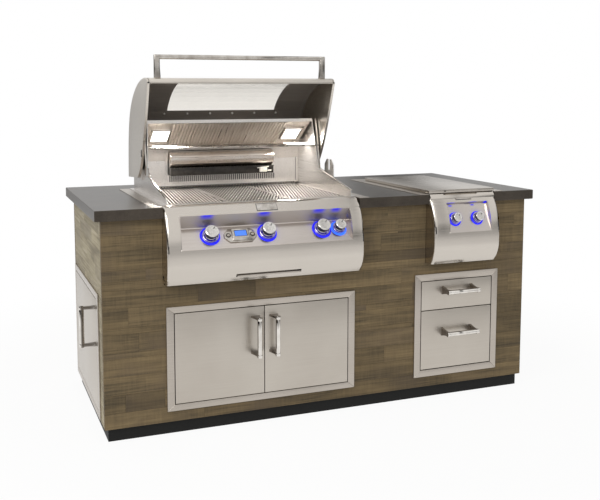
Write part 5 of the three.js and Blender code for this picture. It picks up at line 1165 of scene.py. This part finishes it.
for side in (-1, 1):
    x, (low, high) = middle + side * lid["lugAt"], lid["lugZ"]
    lugs.append(block("lidLug", (x - lid["lugHalf"], y0 - lid["lugOut"], z0 + low),
                      (x + lid["lugHalf"], y0 + 1, z0 + high)))
    near, far = (middle + side * reach for reach in lid["knuckle"])
    knuckles.append(bar("lidKnuckle", (far, lid["hingeY"], lid["hingeZ"]), (near, lid["hingeY"], lid["hingeZ"]),
                        lid["knuckleRadius"]))
cover = join("sideCoverLid", [cover, lipBlock, *knuckles])
dress(smooth(cover, 30), coverSteel, "side_cover_body", "steel", "side_cover")
dress(smooth(join("lidLugs", lugs)), blackPlastic, "side_cover_body", "dark_liner")

# The panel's upper edge stands up to the lid
crown = {"heights": (892, 897, 902, 907, 911), "nose": ((-6, 904), (2, 913)), "behind": 6, "inset": 4, "under": 0.4,
         "in": 0.3, "round": 0.6}
rise = [(depthAt(bullLine, z), z) for z in crown["heights"]]
top = z0 - crown["under"]
outline = [(rise[0][0] - crown["in"], rise[0][1]), *[(y0 + y, z) for y, z in crown["nose"]],
           (y0 + crown["behind"], top), (bull["back"] - 1, top), *[(y + crown["under"], z) for y, z in rise[::-1]]]
piece = prism("sidePanelCrown", outline, "X", x0 + crown["inset"], x1 - crown["inset"])
dress(smooth(bevelled(piece, crown["round"], 2, 50), 40), panelSteel, "island", "steel")
print("cover ready")

# Cooking grates: frames with fine slanting bars, the first slanting less than the other two
grates = {"leans": (0.12, 0.43, 0.29), "frame": 9, "pitch": 13.6, "bar": 6.6, "high": 8, "up": 0.4, "down": 0.2,
          "into": 1, "topFrom": 0.4}
wide, into = grates["frame"], grates["into"]
for k, lean in enumerate(grates["leans"]):
    (x0, y0, z0), (x1, y1, z1) = (tuple(v / mm for v in corner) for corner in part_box(f"cooking_grate_{k + 1}"))
    z1 -= grates["down"]
    pieces = [block("grateRail", (a, b, z0 + grates["up"]), (c, d, z1), 1.2) for a, b, c, d in (
        (x0, y0, x1, y0 + wide), (x0, y1 - wide, x1, y1),
        (x0, y0 + wide, x0 + wide, y1 - wide), (x1 - wide, y0 + wide, x1, y1 - wide))]
    run = y1 - y0 - 2 * wide
    u0, u1, v0, v1 = x0 + wide - into, x1 - wide + into, y0 + wide - into, y1 - wide + into
    across = lean * (v1 - v0)
    for i in range(int((x1 - x0 + lean * run) / grates["pitch"]) + 2):
        # Each bar runs from front to back, kept inside the frame
        base = x0 - lean * run + i * grates["pitch"]
        t0, t1 = max(0, (u0 - base) / across), min(1, (u1 - base) / across)
        if t1 - t0 < 0.01:
            continue
        a, b = ((base + across * t, v0 + (v1 - v0) * t, (z0 + z1) / 2) for t in (t0, t1))
        pieces.append(slat("grateBar", a, b, grates["bar"], grates["high"]))
    grate = join(f"cookingGrate{k + 1}", pieces)
    dress(smooth(grate, 40), grateSteel, "island", "steel", f"cooking_grate_{k + 1}")
    # The bars' sides take the dark material painted as shade
    grate.data.materials.append(barShade)
    for face in grate.data.polygons:
        face.material_index = 1 if face.normal.z < grates["topFrom"] else 0
print("grates ready")

# Rear burner: bright half-round guard over a glazed black face, with its igniter
rearFire = {"x": (-552, -56), "front": 156.5, "back": 251, "low": 978.4, "split": 1013, "radius": 37.5, "y": 194.5,
            "z": 1051.8, "arc": (60, 286, 9), "end": 6, "faceBack": 214, "lipBack": 200, "boxInset": 30}
x0, x1 = rearFire["x"]
radius, y, z = (rearFire[key] for key in ("radius", "y", "z"))
arc = [(y + radius * math.cos(math.radians(d)), z + radius * math.sin(math.radians(d)))
       for d in range(*rearFire["arc"])]
guard = smooth(prism("guardTube", arc, "X", x0 + 2, x1 - 2), 30)
ends = [bar("guardEnd", (x, y, z), (x + rearFire["end"], y, z), radius + 0.2, 1.2, 48)
        for x in (x0, x1 - rearFire["end"])]
guard = join("rearBurnerGuard", [guard, *ends])
dress(smooth(guard, 30), guardSteel, "island", "bright_steel", "back_burner")
front, low, split = rearFire["front"], rearFire["low"], rearFire["split"]
burner = join("rearBurnerFace", [
    block("rearBurnerFace", (x0, front + 6, low), (x1, rearFire["faceBack"], split), 2, 3),
    block("rearBurnerBox", (x0 + rearFire["boxInset"], rearFire["lipBack"], low),
          (x1 - rearFire["boxInset"], rearFire["back"], split), 1.5),
    block("rearBurnerLip", (x0, front, split - 3), (x1, rearFire["lipBack"], split + 1.5), 1)])
dress(smooth(burner, 30), glazedBurner, "island", "dark_liner")
igniter = {"box": ((-128, 150.5, 984), (-92, 163, 1006), 1.6, 3),
           "rods": (((-140, 153, 1004), (-84, 153, 1009), 2.4), ((-88, 157, 990), (-70, 157, 990), 3.5))}
parts = [block("igniterBox", *igniter["box"]), *[bar("igniterRod", *rod) for rod in igniter["rods"]]]
dress(join("rearIgniter", parts), whiteCeramic, "island", "bright_steel")
print("rear burner ready")

# Ribbed reflector under the housing's roof, with its two lamp glasses. Top and bottom are depth and height
ribs = {"x": (-681, 73), "top": (23, 1222), "bottom": (186, 1112), "ribFrom": -566, "ribTo": -42, "pitch": 14.6,
        "deep": 4.4, "wave": ((0, 0), (0.14, 0.55), (0.3, 0.95), (0.45, 1), (0.6, 0.95), (0.76, 0.55), (0.9, 0)),
        "sheet": 1.2}
lamps = {"left": -614, "right": 6, "forward": 4, "glass": (37, 42, -9, -3), "rim": (46, 50, 38, 43),
         "rimZ": (-5.5, -0.5)}
topEdge, run = Vector(ribs["top"]), Vector(ribs["bottom"]) - Vector(ribs["top"])
along = run.normalized()
line = [(ribs["x"][0], 0)]
x = ribs["ribFrom"]
while x < ribs["ribTo"]:
    line += [(x + ribs["pitch"] * s, ribs["deep"] * h) for s, h in ribs["wave"]]
    x += ribs["pitch"]
line.append((ribs["x"][1], 0))
sheet = drawLine("reflectorSheet", [(u * mm, (topEdge.x + along.y * h) * mm, (topEdge.y - along.x * h) * mm)
                                    for u, h in line])
bpy.ops.mesh.select_all(action="SELECT")
drawOut((0, run.x * mm, run.y * mm))
useModifier(sheet, "SOLIDIFY", thickness=ribs["sheet"] * mm, offset=0)
dress(smooth(sheet, 40), reflectorSteel, "island", "bright_steel", "reflector_panel")
for name, x, node in (("lampLeft", lamps["left"], "lamp_left"), ("lampRight", lamps["right"], "lamp_right")):
    middle = topEdge + run / 2
    spot = moveBy(x, middle.x - lamps["forward"], middle.y) @ Matrix.Rotation(math.atan2(along.y, along.x), 4, "X")
    w, h, low, high = lamps["glass"]
    glass = smooth(block(name, (-w, -h, low), (w, h, high), 5, 4), 40)
    dress(place(glass, spot), lampGlow, "island", "lens", node)
    (w, h, v, s), (low, high) = lamps["rim"], lamps["rimZ"]
    rim = join(f"{name}Rim", [block("lampRim", (a, b, low), (c, d, high), 1.5) for a, b, c, d in (
        (-w, -h, -v, h), (v, -h, w, h), (-v, -h, v, -s), (-v, s, v, h))])
    dress(place(rim, spot), mirrorSteel, "island", "bright_steel")
print("reflector ready")

# Warming rack: tube frame with a close grid of rods
rack = {"rod": 2.2, "pitch": 11.5, "tube": 3.4, "crossTube": 2.6, "endIn": 12, "sideIn": 14, "frontIn": 4, "tab": 16,
        "tabHalf": (10, 2), "drop": 3, "rodUp": 2}
(x0, y0, z0), (x1, y1, z1) = (tuple(v / mm for v in corner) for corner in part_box("warming_rack"))
tube, end, side, mid = rack["tube"], rack["endIn"], rack["sideIn"], (z0 + z1) / 2
front, rear = y0 + rack["frontIn"], y1 - rack["frontIn"]
parts = [bar("rackTube", (a, b, h), (c, d, h), radius) for a, b, c, d, h, radius in (
    (x0 + end, front, x1 - end, front, mid, tube), (x0 + end, rear, x1 - end, rear, mid, tube),
    (x0 + side, front, x0 + side, rear, mid, tube), (x1 - side, front, x1 - side, rear, mid, tube),
    (x0 + end, (y0 + y1) / 2, x1 - end, (y0 + y1) / 2, mid - rack["drop"], rack["crossTube"]))]
deep, thick = rack["tabHalf"]
for x in (x0, x1 - rack["tab"]):
    parts.append(block("rackTab", (x, -deep, mid - thick), (x + rack["tab"], deep, mid + thick), 0.8))
x = x0 + side + rack["pitch"]
while x < x1 - rack["tab"]:
    parts.append(bar("rackRod", (x, front, mid + rack["rodUp"]), (x, rear, mid + rack["rodUp"]), rack["rod"], 0, 8))
    x += rack["pitch"]
dress(smooth(join("warmingRack", parts), 40), rodSteel, "island", "bright_steel", "warming_rack")
print("rack ready")

# Rear wall: its slots, a seam and a gap as thin black strips, painted shade; a row of bright tabs; and bright rims on
# the side walls
rearWall = {"y": 212, "slots": (-548, -30, 947, 973), "slotPitch": 9.6, "darkStripWide": 4.6, "tabs": (-596, 70, 919, 927),
            "proud": 0.35, "sunk": 0.4, "tabPitch": 13.6, "tabWide": 6, "tabProud": 4, "tabSunk": -0.2,
            "seam": (74, 76.2, 935, 1085), "gap": (-596, 70, 917, 928)}
rims = {"left": -707.5, "right": 92, "wide": 7.5, "thick": 2.4,
        "line": ((-372, 943), (-34, 1010), (-31, 1024), (20, 1236))}


# One thin block on the rear wall, from so far in front of it to so far behind
def onRearWall(name, x0, x1, z0, z1, before, behind, bevel):
    return block(name, (x0, rearWall["y"] - before, z0), (x1, rearWall["y"] + behind, z1), bevel)


slots, tabs = [], []
before, behind = rearWall["proud"], rearWall["sunk"]
x0, x1, z0, z1 = rearWall["slots"]
x = x0
while x < x1:
    slots.append(onRearWall("wallSlot", x, x + rearWall["darkStripWide"], z0, z1, before, behind, 0))
    x += rearWall["slotPitch"]
slots.append(onRearWall("wallSeam", *rearWall["seam"], before, behind, 0))
slots.append(onRearWall("wallGap", *rearWall["gap"], before, behind, 0))
dress(join("rearWallSlotShade", slots), darkSlot, "island", "dark_liner")
x0, x1, z0, z1 = rearWall["tabs"]
x = x0
while x < x1:
    tabs.append(onRearWall("wallTab", x, x + rearWall["tabWide"], z0, z1, rearWall["tabProud"],
                           rearWall["tabSunk"], 1))
    x += rearWall["tabPitch"]
dress(smooth(join("rearWallTabs", tabs)), mirrorSteel, "island", "bright_steel")
for name, x in (("rimLeft", rims["left"]), ("rimRight", rims["right"])):
    strips = []
    for (ya, za), (yb, zb) in zip(rims["line"], rims["line"][1:]):
        way = Vector((yb - ya, zb - za)).normalized() * rims["thick"]
        strips.append(prism("rimStrip", [(ya, za), (yb, zb), (yb - way.y, zb + way.x), (ya - way.y, za + way.x)],
                            "X", x, x + rims["wide"], 0.5, 2))
    dress(smooth(join(name, strips)), mirrorSteel, "island", "bright_steel")
print("wall details ready")


# A strip that follows the curved panel between two heights, from one level off its face to another
def bullStrip(name, x0, x1, z0, z1, low, high):
    count = 5
    spots = [Vector((depthAt(bullLine, z), z)) for z in (z0 + (z1 - z0) * k / count for k in range(count + 1))]
    outs = [Vector((-(b - a).y, (b - a).x)).normalized() for a, b in zip(spots, spots[1:])]
    outs.append(outs[-1])
    outline = [s + o * low for s, o in zip(spots, outs)] + [s + o * high for s, o in zip(spots[::-1], outs[::-1])]
    return prism(name, [tuple(p) for p in outline], "X", x0, x1)


# Bare plates on the curved panels, a dark edge round a bright face, and short dark strips in the panels' rolled ends,
# painted as reflections
plates = {"edge": 1.6, "edgeLevels": (0.3, 0.8), "faceLevels": (0.8, 1.4), "darkStripWide": 3.5, "darkStripHigh": 30,
          "darkStripLevels": (-3, -0.9), "darkStripIn": (5.5, 9)}
for name, x0, x1, z0, z1 in (("grillNamePlate", -343, -258, 886, 909), ("sideNamePlate", 575, 650, 888, 904)):
    rim = plates["edge"]
    edge = bullStrip(f"{name}Edge", x0 - rim, x1 + rim, z0 - rim, z1 + rim, *plates["edgeLevels"])
    dress(smooth(edge), darkSlot, "island", "dark_liner")
    face = bullStrip(f"{name}Face", x0, x1, z0, z1, *plates["faceLevels"])
    dress(smooth(face), mirrorSteel, "island", "bright_steel")
edgeReflections = []
for near, far, z in ((-722, 114, 742), (447, 777, 750)):
    for x in (near + plates["darkStripIn"][0], far - plates["darkStripIn"][1]):
        edgeReflections.append(bullStrip("edgeReflection", x, x + plates["darkStripWide"], z, z + plates["darkStripHigh"],
                                   *plates["darkStripLevels"]))
dress(join("panelEdgeReflections", edgeReflections), darkSlot, "island", "dark_liner")

# Rivets along the hood's lining, each set where a line from in front of it meets the sheet
rivets = {"middle": -304, "pitch": 107.6, "places": (-2.5, -1.5, -0.5, 0.5, 1.5, 2.5), "y": 184, "z": 1259,
          "radius": 5.6, "from": (-400, -50)}
parts = []
for k in rivets["places"]:
    aim = Vector((rivets["middle"] + rivets["pitch"] * k, rivets["y"], rivets["z"])) * mm
    start = aim + Vector((0, *rivets["from"])) * mm
    hit, where, *others = nodes["hood_liner"].ray_cast(start, (aim - start).normalized())
    if hit:
        clearSelection()
        bpy.ops.mesh.primitive_uv_sphere_add(segments=16, ring_count=8, radius=rivets["radius"] * mm, location=where)
        parts.append(smooth(named("linerRivet")))
if parts:
    dress(join("linerRivets", parts), boxSteel, "hood", "bright_steel")

# Hinge parts at the left end of the hood: two six-sided bolts on a plate, and a thin black block on the hood's end,
# painted shade for a slot
hinge = {"bolt": (-709.5, -700.5), "bolts": ((-40, 1030, 7), (-78, 1014, 6)),
         "plate": ((-710, -96, 1003), (-707, -22, 1041), 2.5, 3),
         "slot": ((-722.3, -26, 1082), (-721, -8, 1113), 0.4, 1)}
x0, x1 = hinge["bolt"]
parts = [bar("hingeBolt", (x0, y, z), (x1, y, z), radius, 1, 6) for y, z, radius in hinge["bolts"]]
parts.append(block("hingePlate", *hinge["plate"]))
dress(smooth(join("hoodHingeLeft", parts)), mirrorSteel, "island", "bright_steel")
dress(block("hingeSlotShade", *hinge["slot"]), darkSlot, "hood", "dark_liner")
print("small parts ready")

# Finishes on the solids that already have their full shape
for material, names in (
        (kickPaint, ("plinth",)), (slabStone, ("countertop",)), (millSteel, ("cabinet_frame", "gas_manifold")),
        (sheetSteel, ("grill_liner", "side_liner", "side_burner_box", "drip_tray", "flavor_plate")),
        (boxSteel, ("firebox", "rear_housing")), (darkSteel, ("hood_liner",)),
        (castIron, ("main_burner_1", "main_burner_2", "main_burner_3", "side_burner_pair", "side_grate")),
        (windowGlass, ("hood_window",))):
    for name in names:
        for slot in nodes[name].material_slots:
            slot.material = material
print("solids dressed")
